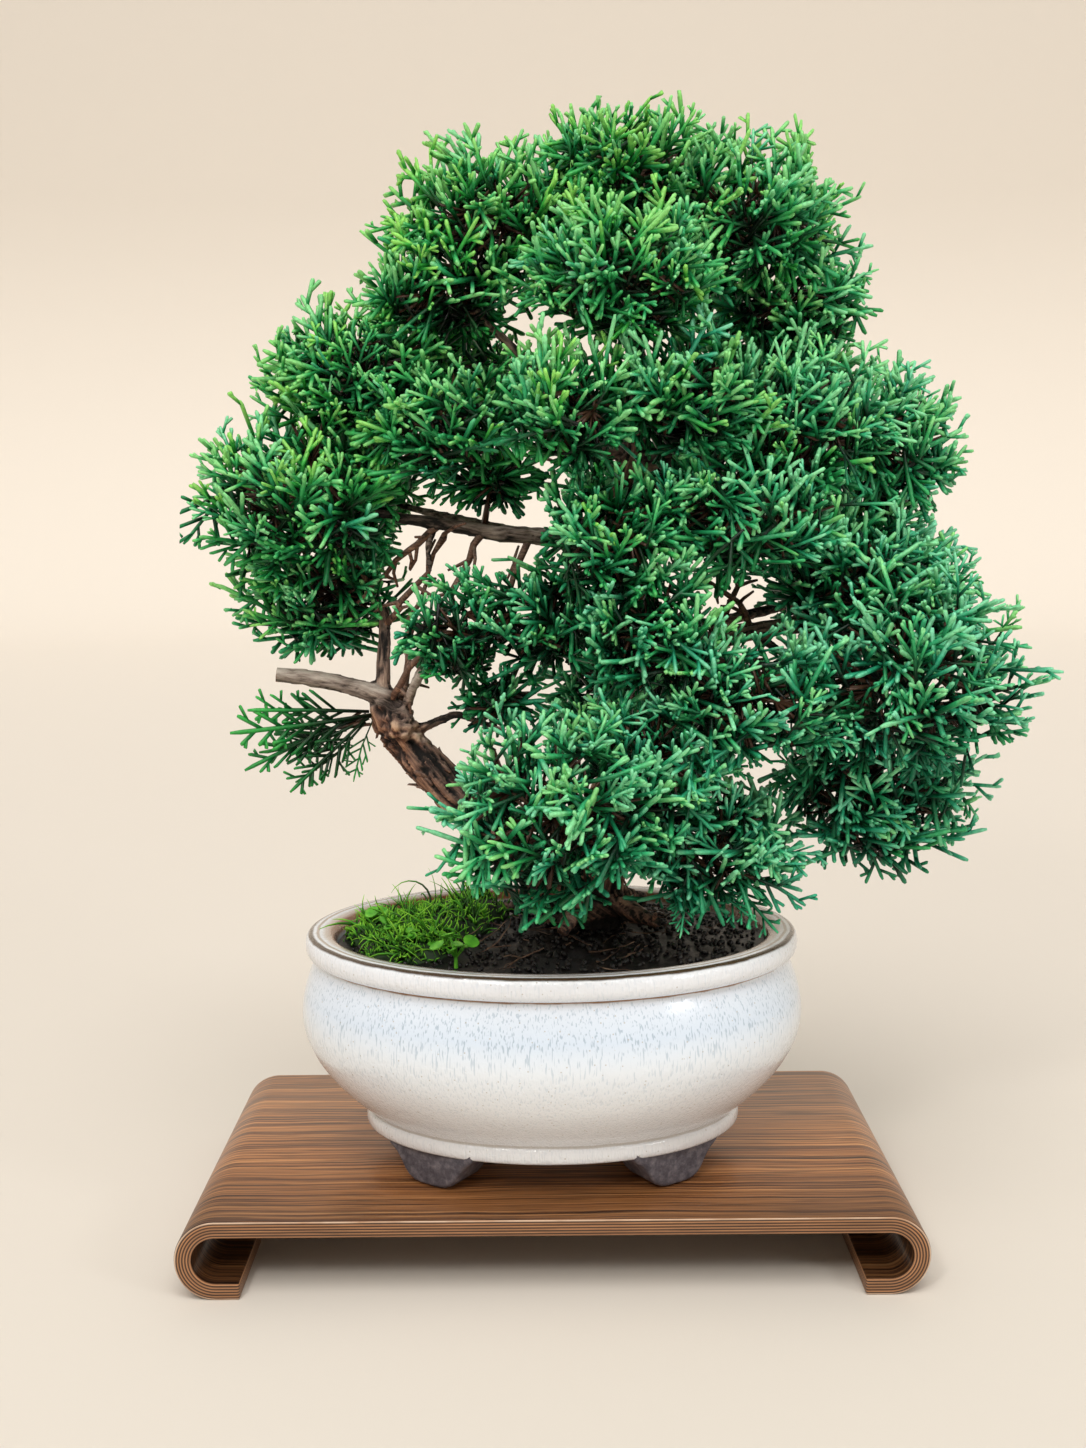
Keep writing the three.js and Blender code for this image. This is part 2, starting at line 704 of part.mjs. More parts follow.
function takeWood() {
  const stretches = [
    [TRUNK_LINE.map(asVector), TRUNK_RADII],
    [LEAN_LINE.map(asVector), LEAN_RADII],
    [DEAD_STUB_LINE.map(asVector), DEAD_STUB_RADII],
    ...BARE_TWIGS.map((twig) => [twig.points.map(asVector), twig.radii]),
    ...Object.values(PADS).map((pad) => [carrierLine(pad), pad.wood]),
  ];
  for (const [points, radii] of stretches) {
    const count = 3 * points.length;
    const places = new THREE.CatmullRomCurve3(points).getSpacedPoints(count);
    for (let i = 0; i < count; i++) {
      const share = (i / count) * (radii.length - 1);
      take("trunk", places[i], places[i + 1], radii[Math.floor(share)] * 1.08);
    }
  }
}

// A pad's core as a body that shoots can be pulled out of: its points and the triangles between them.
function coreBody(pad, random) {
  const ball = pad.full ? new THREE.OctahedronGeometry(1, 1) : new THREE.IcosahedronGeometry(1, 0);
  ball.deleteAttribute("normal");
  ball.deleteAttribute("uv");
  const whole = mergeVertices(ball, 1e-4);
  whole.rotateX(3 * random()).rotateZ(3 * random());
  whole.scale(...pad.half.map((half) => half * CORE_SHARE)).translate(...pad.at);
  const at = whole.attributes.position;
  const points = [];
  for (let i = 0; i < at.count; i++) points.push(new THREE.Vector3().fromBufferAttribute(at, i));
  const faces = new Set();
  const corners = whole.index.array;
  for (let i = 0; i < corners.length; i += 3) faces.add([corners[i], corners[i + 1], corners[i + 2]]);
  return { points, faces };
}

function centreOf(body, face) {
  const [a, b, c] = face.map((corner) => body.points[corner]);
  return a.clone().add(b).add(c).divideScalar(3);
}

function normalOf(body, face) {
  const [a, b, c] = face.map((corner) => body.points[corner]);
  return b.clone().sub(a).cross(c.clone().sub(a));
}

// Sets three new points inside a face, fills the ring round them, and returns the small face between them.
function drawIn(body, face, inner) {
  const first = body.points.length;
  body.points.push(...inner);
  const small = [first, first + 1, first + 2];
  const outward = normalOf(body, face);
  const facing = (part) => normalOf(body, part).dot(outward);
  for (const i of [0, 1, 2]) {
    const j = (i + 1) % 3;
    const splits = [
      [[face[i], face[j], small[j]], [face[i], small[j], small[i]]],
      [[face[i], face[j], small[i]], [face[j], small[j], small[i]]],
    ];
    const worst = splits.map((parts) => Math.min(...parts.map(facing)));
    for (const part of splits[worst[0] > worst[1] ? 0 : 1]) body.faces.add(part);
  }
  body.faces.delete(face);
  return small;
}

// Closes a small face to a tip, and returns the three sides of the shoot that this makes.
function pullToTip(body, small, tip) {
  const top = body.points.push(tip) - 1;
  const sides = [0, 1, 2].map((i) => [small[i], small[(i + 1) % 3], top]);
  sides.forEach((side) => body.faces.add(side));
  return sides;
}

// The pad's stem: the face that looks towards the wood is drawn in and carried out to a flat end.
function growStem(body, pad, tip) {
  const centre = asVector(pad.at);
  const towards = tip.clone().sub(centre).normalize();
  const facing = (face) => centreOf(body, face).sub(centre).normalize().dot(towards);
  const face = [...body.faces].sort((a, b) => facing(b) - facing(a))[0];
  const middle = centreOf(body, face);
  const radius = pad.wood[1];
  const offsets = face.map((corner) => body.points[corner].clone().sub(middle));
  const base = offsets.map((offset) => offset.setLength(radius).add(middle));
  const small = drawIn(body, face, base);
  const ends = base.map((point) => {
    const offset = point.clone().sub(middle);
    offset.addScaledVector(towards, -offset.dot(towards)).setLength(radius);
    return tip.clone().add(offset);
  });
  const first = body.points.length;
  body.points.push(...ends);
  for (const i of [0, 1, 2]) {
    const j = (i + 1) % 3;
    body.faces.add([small[i], small[j], first + j]);
    body.faces.add([small[i], first + j, first + i]);
  }
  body.faces.add([first, first + 1, first + 2]);
  return { foot: middle, face };
}

// A side shoot from one side of a shoot, a third of the way up it.
function growFork(body, owner, side, start, tip, passed, random) {
  const [left, right, top] = side.map((corner) => body.points[corner]);
  const height = 0.22 + 0.16 * random();
  const onSide = (up, across) => left.clone().lerp(top, up).lerp(right.clone().lerp(top, up), across);
  const base = [onSide(height, 0.1), onSide(height, 0.9), onSide(height + 0.2, 0.5)];
  const foot = onSide(height + 0.07, 0.5);
  const reach = tip.clone().sub(start);
  const away = reach.clone().normalize();
  away.addScaledVector(normalOf(body, side).normalize(), 0.55 + 0.4 * random());
  const end = foot.clone().add(away.setLength(reach.length() * (0.55 + 0.2 * random())));
  if (!isClear(foot, end, SHOOT_RADIUS * 0.45, passed)) return;
  take(owner, foot, end, SHOOT_RADIUS * 0.45);
  pullToTip(body, drawIn(body, side, base), end);
}

// One shoot out of a face of the core with its side shoot, where there is room for them.
function growShoot(body, name, pad, face, core, random) {
  const centre = asVector(pad.at);
  const half = asVector(pad.half);
  const start = centreOf(body, face);
  const outward = start.clone().sub(centre).divide(half).normalize();
  for (const length of SHOOT_LENGTHS) {
    const wander = new THREE.Vector3(random() - 0.5, random() - 0.5, random() - 0.5).multiplyScalar(0.3);
    const tip = outward.clone().add(wander).normalize().multiply(half).multiplyScalar(length).add(centre);
    if (!isClear(start, tip, SHOOT_RADIUS * 0.455, [core])) continue;
    const own = take(name, start, tip, SHOOT_RADIUS * 0.455);
    const offsets = face.map((corner) => body.points[corner].clone().sub(start));
    const base = offsets.map((offset) => offset.setLength(SHOOT_RADIUS).add(start));
    const sides = pullToTip(body, drawIn(body, face, base), tip);
    const forkSide = sides[Math.floor(3 * random())];
    growFork(body, name, forkSide, start, tip, [core, own], random);
    return;
  }
}

function foliage() {
  const random = randomFrom(29);
  takeWood();
  const growing = Object.entries(PADS).map(([name, pad]) => {
    const centre = asVector(pad.at);
    const tip = stemTip(pad, SEAT);
    const body = coreBody(pad, random);
    const middleHalf = (pad.half[0] + pad.half[1] + pad.half[2]) / 3;
    const core = take(name, centre, centre.clone().addScalar(0.01), CORE_SHARE * middleHalf);
    const coreFaces = [...body.faces];
    const stem = growStem(body, pad, tip);
    take(name, stem.foot, tip, pad.wood[1]);
    return { name, pad, body, core, faces: coreFaces.filter((face) => face !== stem.face) };
  });
  const most = Math.max(...growing.map((one) => one.faces.length));
  for (let i = 0; i < most; i++) {
    for (const { name, pad, body, core, faces } of growing) {
      if (i < faces.length) growShoot(body, name, pad, faces[i], core, random);
    }
  }
  return growing.map(({ name, body }) => {
    const geometry = new THREE.BufferGeometry().setFromPoints(body.points);
    geometry.setIndex([...body.faces].flat());
    geometry.computeVertexNormals();
    const mesh = new THREE.Mesh(geometry, COLOURS.foliage);
    mesh.name = "foliage_" + name;
    return mesh;
  });
}

// Assembly

const pottedTree = new THREE.Group();
pottedTree.position.set(POT_X, POT_Y, STAND_HEIGHT + SEAT);
pottedTree.add(pot());
pottedTree.add(drainScreen("drain_screen_left", -DRAIN_X));
pottedTree.add(drainScreen("drain_screen_right", DRAIN_X));
pottedTree.add(soil());
pottedTree.add(moss());
pottedTree.add(seedling());

const model = new THREE.Group();
model.add(stand());
model.add(pottedTree);
model.add(trunk());
model.add(...foliage());

// Moves the whole so that the origin is under the middle of its box, at floor level.
model.updateMatrixWorld(true);
const box = new THREE.Box3().setFromObject(model, true);
const middle = box.getCenter(new THREE.Vector3());
model.position.set(-middle.x, -middle.y, -box.min.z);

const bonsai = new THREE.Group();
bonsai.add(model);

export default bonsai;
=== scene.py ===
# A kishu juniper grown as a bonsai: its foliage, wood, moss and soil, in a glazed oval pot on a low
# stand of bent laminated walnut. Everything is in metres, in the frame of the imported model.
import math
import random

import bmesh
import bpy
from mathutils import Euler, Matrix, Vector, noise
from mathutils.bvhtree import BVHTree
from mathutils.geometry import interpolate_bezier
from mathutils.kdtree import KDTree


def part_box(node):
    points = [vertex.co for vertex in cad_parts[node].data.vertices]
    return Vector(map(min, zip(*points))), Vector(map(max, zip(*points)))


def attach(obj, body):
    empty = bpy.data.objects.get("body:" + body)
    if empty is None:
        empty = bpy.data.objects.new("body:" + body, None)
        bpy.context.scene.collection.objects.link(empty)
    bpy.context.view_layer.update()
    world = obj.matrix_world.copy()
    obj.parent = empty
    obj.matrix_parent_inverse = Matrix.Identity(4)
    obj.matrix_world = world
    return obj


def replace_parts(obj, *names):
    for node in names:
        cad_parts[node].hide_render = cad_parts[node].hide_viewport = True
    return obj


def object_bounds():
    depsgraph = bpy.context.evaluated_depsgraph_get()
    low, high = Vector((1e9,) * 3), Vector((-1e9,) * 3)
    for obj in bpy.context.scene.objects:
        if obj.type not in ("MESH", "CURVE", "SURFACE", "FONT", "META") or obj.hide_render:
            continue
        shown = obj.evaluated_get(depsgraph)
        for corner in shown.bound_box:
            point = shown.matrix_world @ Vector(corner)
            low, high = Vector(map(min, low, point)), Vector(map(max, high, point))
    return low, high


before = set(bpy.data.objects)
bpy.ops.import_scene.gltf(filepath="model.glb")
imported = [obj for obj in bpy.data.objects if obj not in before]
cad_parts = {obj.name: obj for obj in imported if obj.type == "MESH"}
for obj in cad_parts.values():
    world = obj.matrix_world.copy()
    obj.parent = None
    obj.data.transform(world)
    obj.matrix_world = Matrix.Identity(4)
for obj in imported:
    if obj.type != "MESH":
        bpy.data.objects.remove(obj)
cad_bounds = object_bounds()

MM = 0.001

# Camera and light.
# The tree is seen from a little above the rim of its pot, from half a metre in front of the stand,
# in the soft light of a bright room that comes from above and from the left.
stand_low, stand_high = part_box("stand")
stand_centre = Vector(((stand_low.x + stand_high.x) / 2, (stand_low.y + stand_high.y) / 2, 0))

CAMERA_PLACE = Vector((-1.5, -517.7, 233.0)) * MM
CAMERA_PITCH = 0.1342
CAMERA_ROLL = 0.0083
LENS = 40.465
SENSOR = 36

forward = Vector((0, math.cos(CAMERA_PITCH), -math.sin(CAMERA_PITCH)))
level_up = Vector((0, math.sin(CAMERA_PITCH), math.cos(CAMERA_PITCH)))
level_right = Vector((1, 0, 0))
right = level_right * math.cos(CAMERA_ROLL) - level_up * math.sin(CAMERA_ROLL)
up = level_right * math.sin(CAMERA_ROLL) + level_up * math.cos(CAMERA_ROLL)

lens = bpy.data.cameras.new("camera")
lens.lens = LENS
lens.sensor_width = SENSOR
lens.sensor_fit = "AUTO"
lens.clip_start = 0.01
camera = bpy.data.objects.new("camera", lens)
bpy.context.scene.collection.objects.link(camera)
camera.matrix_world = Matrix.Translation(stand_centre + CAMERA_PLACE) @ Matrix((right, up, -forward)).transposed().to_4x4()
bpy.context.scene.camera = camera

LIGHTS = {
    "window_light": {"place": (-0.4, -0.9, 0.85), "side": 0.17, "power": 3.2, "colour": (1.0, 0.985, 0.96)},
    "room_light": {"place": (0.95, -0.75, 0.6), "side": 0.19, "power": 2.2, "colour": (0.94, 0.97, 1.0)},
}
LIT_POINT = Vector((0, 0, 0.17))
for light_name, light in LIGHTS.items():
    lamp = bpy.data.lights.new(light_name, "AREA")
    lamp.shape = "SQUARE"
    lamp.size = light["side"]
    lamp.energy = light["power"]
    lamp.color = light["colour"]
    holder = bpy.data.objects.new(light_name, lamp)
    bpy.context.scene.collection.objects.link(holder)
    place = Vector(light["place"])
    turn = (LIT_POINT - place).to_track_quat("-Z", "Y")
    holder.matrix_world = Matrix.Translation(place) @ turn.to_matrix().to_4x4()

# Daylight from a wide bright sky behind the viewer, the same on the object and all over the paper.
daylight = bpy.data.lights.new("daylight", "SUN")
daylight.energy = 2.05
daylight.angle = math.radians(50)
daylight.color = (1.0, 0.98, 0.95)
daylight_holder = bpy.data.objects.new("daylight", daylight)
bpy.context.scene.collection.objects.link(daylight_holder)
daylight_holder.matrix_world = Vector((0.04, 0.7, -1)).to_track_quat("-Z", "Y").to_matrix().to_4x4()

world = bpy.data.worlds.new("room")
world.use_nodes = True
world.node_tree.nodes["Background"].inputs["Color"].default_value = (0.98, 0.99, 1.0, 1.0)
world.node_tree.nodes["Background"].inputs["Strength"].default_value = 0.68
bpy.context.scene.world = world
bpy.context.scene.view_settings.view_transform = "Standard"


# Floor.
# A seamless sweep of matt warm-white paper: it lies flat under the stand and curves up all round.
def linear(colour):
    """An sRGB colour such as 0x8a5f41 as the linear red, green, blue and alpha of a shader."""
    shares = [((colour >> shift) & 255) / 255 for shift in (16, 8, 0)]
    return tuple(s / 12.92 if s < 0.04045 else ((s + 0.055) / 1.055) ** 2.4 for s in shares) + (1.0,)


def add_node(tree, kind, values=None, stops=None, **settings):
    """Adds one shader node. values maps its inputs to numbers or to the outputs that feed them."""
    node = tree.nodes.new("ShaderNode" + kind)
    for name, setting in settings.items():
        setattr(node, name, setting)
    for socket, value in (values or {}).items():
        if isinstance(value, bpy.types.NodeSocket):
            tree.links.new(value, node.inputs[socket])
        else:
            node.inputs[socket].default_value = value
    if stops:
        elements = node.color_ramp.elements
        while len(elements) < len(stops):
            elements.new(0.5)
        for element, (place, colour) in zip(elements, stops):
            element.position = place
            element.color = linear(colour) if isinstance(colour, int) else (colour, colour, colour, 1)
    return node


def new_material(name):
    """An empty node material with its surface shader."""
    material = bpy.data.materials.new(name)
    material.use_nodes = True
    return material, material.node_tree, material.node_tree.nodes["Principled BSDF"]


def add_piece(name, shape, *materials):
    """Makes a finished shape an object at the origin, with its materials."""
    mesh = bpy.data.meshes.new(name)
    shape.to_mesh(mesh)
    shape.free()
    for material in materials:
        mesh.materials.append(material)
    piece = bpy.data.objects.new(name, mesh)
    bpy.context.scene.collection.objects.link(piece)
    return piece


def turned_shape(profile, steps):
    """Spins a profile of (radius, height) points round the upright axis and closes it."""
    shape = bmesh.new()
    points = [shape.verts.new((radius, 0, height)) for radius, height in profile]
    edges = [shape.edges.new(pair) for pair in zip(points, points[1:])]
    bmesh.ops.spin(
        shape, geom=points + edges, cent=(0, 0, 0), axis=(0, 0, 1), angle=2 * math.pi, steps=steps, use_merge=True
    )
    bmesh.ops.remove_doubles(shape, verts=shape.verts, dist=1e-7)
    bmesh.ops.recalc_face_normals(shape, faces=shape.faces)
    return shape


def shade_smooth(piece, below=None):
    """Smooth shading, sharp where faces meet at more than an angle in degrees."""
    if below is None:
        piece.data.shade_smooth()
    else:
        for polygon in piece.data.polygons:
            polygon.use_smooth = True
        piece.data.set_sharp_from_angle(angle=math.radians(below))


PAPER_FLAT = 2.4
PAPER_BEND = 0.9
PAPER_TOP = 3.2
paper_profile = [(0.0, 0.0), (0.8, 0.0), (PAPER_FLAT, 0.0)]
for step in range(1, 13):
    angle = step / 12 * math.pi / 2
    paper_profile.append((PAPER_FLAT + PAPER_BEND * math.sin(angle), PAPER_BEND * (1 - math.cos(angle))))
paper_profile.append((PAPER_FLAT + PAPER_BEND, PAPER_TOP))
paper, paper_tree, paper_shader = new_material("matt_paper")
paper_shader.inputs["Base Color"].default_value = linear(0xE0D8CD)
paper_shader.inputs["Roughness"].default_value = 0.9
paper_shader.inputs["Specular IOR Level"].default_value = 0.1
floor_shape = turned_shape(paper_profile, 64)
bmesh.ops.reverse_faces(floor_shape, faces=floor_shape.faces)
floor = add_piece("floor", floor_shape, paper)
shade_smooth(floor)


# Stand.
# One board of thin walnut plies, glued up in a mould that bends both ends into a half round whose
# lip turns in along the ground. Its edges show the plies, drawn a little thicker than they are.
BOARD_THICKNESS = 5.3 * MM
LIP_REACH = 7 * MM
EDGE_ROUNDING = 0.7 * MM
PLIES = 6
stand_depth = stand_high.y - stand_low.y
bend_radius = stand_high.z / 2
flat_half = (stand_high.x - stand_low.x) / 2 - bend_radius
bend_length = math.pi * bend_radius
board_length = 2 * (LIP_REACH + bend_length + flat_half)


def bent(along, sunk):
    """Where a point of the flat board ends up: its distance from the middle, and its height."""
    side = math.copysign(1, along)
    past_flat = abs(along) - flat_half
    radius = bend_radius - sunk
    if past_flat <= 0:
        return along, bend_radius + radius
    if past_flat <= bend_length:
        angle = past_flat / bend_radius
        return side * (flat_half + radius * math.sin(angle)), bend_radius + radius * math.cos(angle)
    return side * (flat_half - (past_flat - bend_length)), bend_radius - radius


board = bmesh.new()
flat_board = Matrix.Diagonal((board_length, stand_depth, BOARD_THICKNESS, 1))
bmesh.ops.create_cube(board, size=1, matrix=Matrix.Translation((0, 0, -BOARD_THICKNESS / 2)) @ flat_board)
bmesh.ops.bevel(
    board, geom=list(board.edges), offset=EDGE_ROUNDING, affect="EDGES", segments=2, profile=0.5, material=-1
)
cuts = [flat_half + bend_length * step / 28 for step in range(29)] + [flat_half * step / 6 for step in range(6)]
for cut in cuts:
    for along in {cut, -cut}:
        everything = board.verts[:] + board.edges[:] + board.faces[:]
        bmesh.ops.bisect_plane(board, geom=everything, dist=1e-8, plane_co=(along, 0, 0), plane_no=(1, 0, 0))
for face in board.faces:
    face.material_index = 1 if max(abs(face.normal.x), abs(face.normal.y)) > 0.5 else 0
sheet_place = board.verts.layers.float_vector.new("sheet")
for vert in board.verts:
    vert[sheet_place] = vert.co
    across, height = bent(vert.co.x, -vert.co.z)
    vert.co = Vector((stand_centre.x + across, stand_centre.y + vert.co.y, height))

# Oiled walnut veneer: straight grain in bands a few millimetres wide, with short dark pores.
# Painted shade makes it darker towards the front edge and on its underside, inside the curls.
veneer, tree, shader = new_material("oiled_walnut_veneer")
sheet_coords = add_node(tree, "Attribute", attribute_name="sheet").outputs["Vector"]
wander = add_node(tree, "TexNoise", {"Vector": sheet_coords, "Scale": 14.0, "Detail": 2.0})
shifted = add_node(
    tree, "VectorMath", {0: wander.outputs["Color"], "Scale": 0.007}, operation="SCALE"
)
drifting = add_node(tree, "VectorMath", {0: sheet_coords, 1: shifted.outputs[0]}, operation="ADD").outputs[0]
bands = add_node(tree, "Mapping", {"Vector": drifting, "Scale": (3.5, 820.0, 60.0)})
band_noise = add_node(tree, "TexNoise", {"Vector": bands.outputs[0], "Scale": 1.0, "Detail": 6.0, "Roughness": 0.7})
tones = add_node(
    tree,
    "ValToRGB",
    {"Fac": band_noise.outputs["Fac"]},
    stops=[(0.35, 0x2A160C), (0.43, 0x6A4027), (0.49, 0x99643A), (0.57, 0xB87C4A), (0.68, 0xE0A56C)],
)
sheet_split = add_node(tree, "SeparateXYZ", {0: sheet_coords}).outputs
# Painted shade: darker towards the front edge and on the underside of the board.
from_front = {"Value": sheet_split["Y"], 1: -0.5 * stand_depth, 2: -0.1 * stand_depth, 3: 0.42, 4: 1.0}
from_under = {"Value": sheet_split["Z"], 1: -0.9 * BOARD_THICKNESS, 2: -0.6 * BOARD_THICKNESS, 3: 0.5, 4: 1.0}
painted_front_shade = add_node(tree, "MapRange", from_front)
under = add_node(tree, "MapRange", from_under)
darkened = add_node(tree, "Math", {0: painted_front_shade.outputs[0], 1: under.outputs[0]}, operation="MULTIPLY")
tones_with_painted_shade = add_node(
    tree, "Mix", {0: 1.0, 6: tones.outputs["Color"], 7: darkened.outputs[0]}, data_type="RGBA", blend_type="MULTIPLY"
)
pore_place = add_node(tree, "Mapping", {"Vector": drifting, "Scale": (32.0, 1700.0, 400.0)})
pores = add_node(tree, "TexNoise", {"Vector": pore_place.outputs[0], "Scale": 1.0, "Detail": 2.0})
pore_mask = add_node(tree, "ValToRGB", {"Fac": pores.outputs["Fac"]}, stops=[(0.36, 0.35), (0.47, 1.0)])
veneer_colour = add_node(
    tree, "Mix", {0: 1.0, 6: tones_with_painted_shade.outputs[2], 7: pore_mask.outputs["Color"]}, data_type="RGBA", blend_type="MULTIPLY"
)
tree.links.new(veneer_colour.outputs[2], shader.inputs["Base Color"])
gloss = add_node(tree, "MapRange", {"Value": band_noise.outputs["Fac"], 3: 0.28, 4: 0.42})
tree.links.new(gloss.outputs[0], shader.inputs["Roughness"])
grain_bump = add_node(
    tree, "Bump", {"Height": pores.outputs["Fac"], "Strength": 0.35, "Distance": 0.0002}
)
tree.links.new(grain_bump.outputs[0], shader.inputs["Normal"])

# Cut and sanded plies: thin bands of long grain and dark glue lines that follow the bend, with a
# painted highlight: a pale line along the top edge.
ply_edge, tree, shader = new_material("sanded_walnut_ply_edge")
sheet_coords = add_node(tree, "Attribute", attribute_name="sheet").outputs["Vector"]
depth = add_node(tree, "SeparateXYZ", {0: sheet_coords}).outputs["Z"]
ply = add_node(tree, "Math", {0: depth, 1: PLIES / BOARD_THICKNESS}, operation="MULTIPLY")
in_ply = add_node(tree, "Math", {0: ply.outputs[0]}, operation="FRACT")
glue = add_node(
    tree,
    "ValToRGB",
    {"Fac": in_ply.outputs[0]},
    stops=[(0.0, 0x1E110A), (0.2, 0x3F2617), (0.4, 0x9A6B47), (0.7, 0xC08C60), (0.9, 0x5E3B25)],
)
fleck_place = add_node(tree, "Mapping", {"Vector": sheet_coords, "Scale": (60.0, 60.0, 2400.0)})
flecks = add_node(tree, "TexNoise", {"Vector": fleck_place.outputs[0], "Scale": 1.0, "Detail": 3.0})
fleck_tone = add_node(tree, "ValToRGB", {"Fac": flecks.outputs["Fac"]}, stops=[(0.3, 0.55), (0.65, 1.0)])
edge_colour = add_node(
    tree, "Mix", {0: 1.0, 6: glue.outputs["Color"], 7: fleck_tone.outputs["Color"]}, data_type="RGBA", blend_type="MULTIPLY"
)
# Painted highlight: a pale line along the top edge of the plies, broken into patches.
painted_edge_highlight = add_node(tree, "MapRange", {"Value": depth, 1: -0.75 * MM, 2: -0.35 * MM, 3: 0.0, 4: 0.75})
edge_highlight_patches = add_node(tree, "TexNoise", {"Vector": sheet_coords, "Scale": 90.0, "Detail": 2.0})
edge_highlight_mask = add_node(tree, "ValToRGB", {"Fac": edge_highlight_patches.outputs["Fac"]}, stops=[(0.3, 0.35), (0.55, 1.0)])
edge_highlight_amount = add_node(tree, "Math", {0: painted_edge_highlight.outputs[0], 1: edge_highlight_mask.outputs["Color"]}, operation="MULTIPLY")
edge_colour_with_highlight = add_node(
    tree, "Mix", {0: edge_highlight_amount.outputs[0], 6: edge_colour.outputs[2], 7: linear(0xE6CDB4)}, data_type="RGBA"
)
tree.links.new(edge_colour_with_highlight.outputs[2], shader.inputs["Base Color"])
shader.inputs["Roughness"].default_value = 0.45

stand = add_piece("bent_walnut_stand", board, veneer, ply_edge)
shade_smooth(stand, below=40)
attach(stand, "root")
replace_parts(stand, "stand")


# Pot.
# An oval stoneware bowl with a rolled lip, thrown round, pressed oval, and glazed white all over
# but its four cloud-shaped feet, where the dark clay stays bare. The glaze breaks brown on edges.
pot_low, pot_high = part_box("pot")
pot_centre = Vector(((pot_low.x + pot_high.x) / 2, (pot_low.y + pot_high.y) / 2, pot_low.z))
OVAL_DIFFERENCE = 17.6 * MM
FLANGE_RADIUS = 60.4 * MM
FOOT_HEIGHT = 11.4 * MM
FOOT_WIDTH = 33 * MM
FOOT_DEPTH = 15 * MM
FOOT_ANGLE = 0.807
FLOOR_TOP = 19 * MM
DRAIN_RADIUS = 6 * MM
DRAIN_X = 27 * MM
POT_STEPS = 120


def smooth_run(start, pull, push, end, count):
    """Points along a smooth curve of a profile, without its start. Radius and height in mm."""
    corners = [Vector((*point, 0)) for point in (start, pull, push, end)]
    return [(point.x, point.y) for point in interpolate_bezier(*corners, count)[1:]]


outside = [(0, 11.4), (30, 11.4), (58.6, 11.4)]
outside += smooth_run((58.6, 11.4), (59.9, 11.4), (60.3, 12), (60.3, 13.4), 4)
outside += smooth_run((60.3, 13.4), (60.2, 15), (60.1, 16.0), (59.2, 16.4), 5)
outside += smooth_run((59.2, 16.4), (58.8, 16.6), (59.9, 17.4), (61.2, 18.5), 4)
outside += smooth_run((61.2, 18.5), (70.5, 26.2), (80, 37), (80, 48.2), 16)
outside += smooth_run((80, 48.2), (80, 55.5), (77.2, 61.6), (75.7, 65.6), 12)
outside += smooth_run((75.7, 65.6), (75.3, 66.6), (75.6, 67.0), (76.7, 67.2), 4)
outside += smooth_run((76.7, 67.2), (79.0, 67.7), (79.2, 73.6), (76.6, 74.3), 10)
outside += smooth_run((76.6, 74.3), (74.5, 74.6), (72.5, 74.3), (70.6, 73.9), 5)
outside += smooth_run((70.6, 73.9), (68.9, 73.4), (68.4, 71.5), (68.3, 66.5), 5)
inside = [(69.4, 62), (70.5, 58), (72.4, 53), (72.8, 48), (70.6, 38), (66, 31), (58, 24), (50, 19), (25, 19), (0, 19)]
pot_profile = [(radius * MM, height * MM) for radius, height in outside + inside]
bowl = turned_shape(pot_profile, POT_STEPS)

# How far up the profile each point lies, in millimetres, so that the brown lines can follow edges.
run_up = bowl.verts.layers.float.new("run_up")
lengths = [0.0]
for (r0, z0), (r1, z1) in zip(pot_profile, pot_profile[1:]):
    lengths.append(lengths[-1] + math.hypot(r1 - r0, z1 - z0))
run_of_point = {(round(r, 6), round(z, 6)): run for (r, z), run in zip(pot_profile, lengths)}
for vert in bowl.verts:
    radius = math.hypot(vert.co.x, vert.co.y)
    nearest = min(run_of_point, key=lambda point: abs(point[0] - radius) + abs(point[1] - vert.co.z))
    vert[run_up] = run_of_point[nearest] / MM


def press_oval(shape):
    """Narrows a turned shape front to back by the same amount at every height."""
    for vert in shape.verts:
        radius = math.hypot(vert.co.x, vert.co.y)
        if radius > 0:
            vert.co.y *= (radius - OVAL_DIFFERENCE * min(1, radius / FLANGE_RADIUS)) / radius


press_oval(bowl)
for face in bowl.faces:
    face.material_index = 0

FOOT_HALF_OUTLINE = [(0.0, 0.0), (0.2, 0.0), (0.36, 0.035), (0.5, 0.14), (0.6, 0.3), (0.68, 0.5), (0.79, 0.72), (0.93, 0.88), (1.0, 1.0), (1.0, 1.2)]


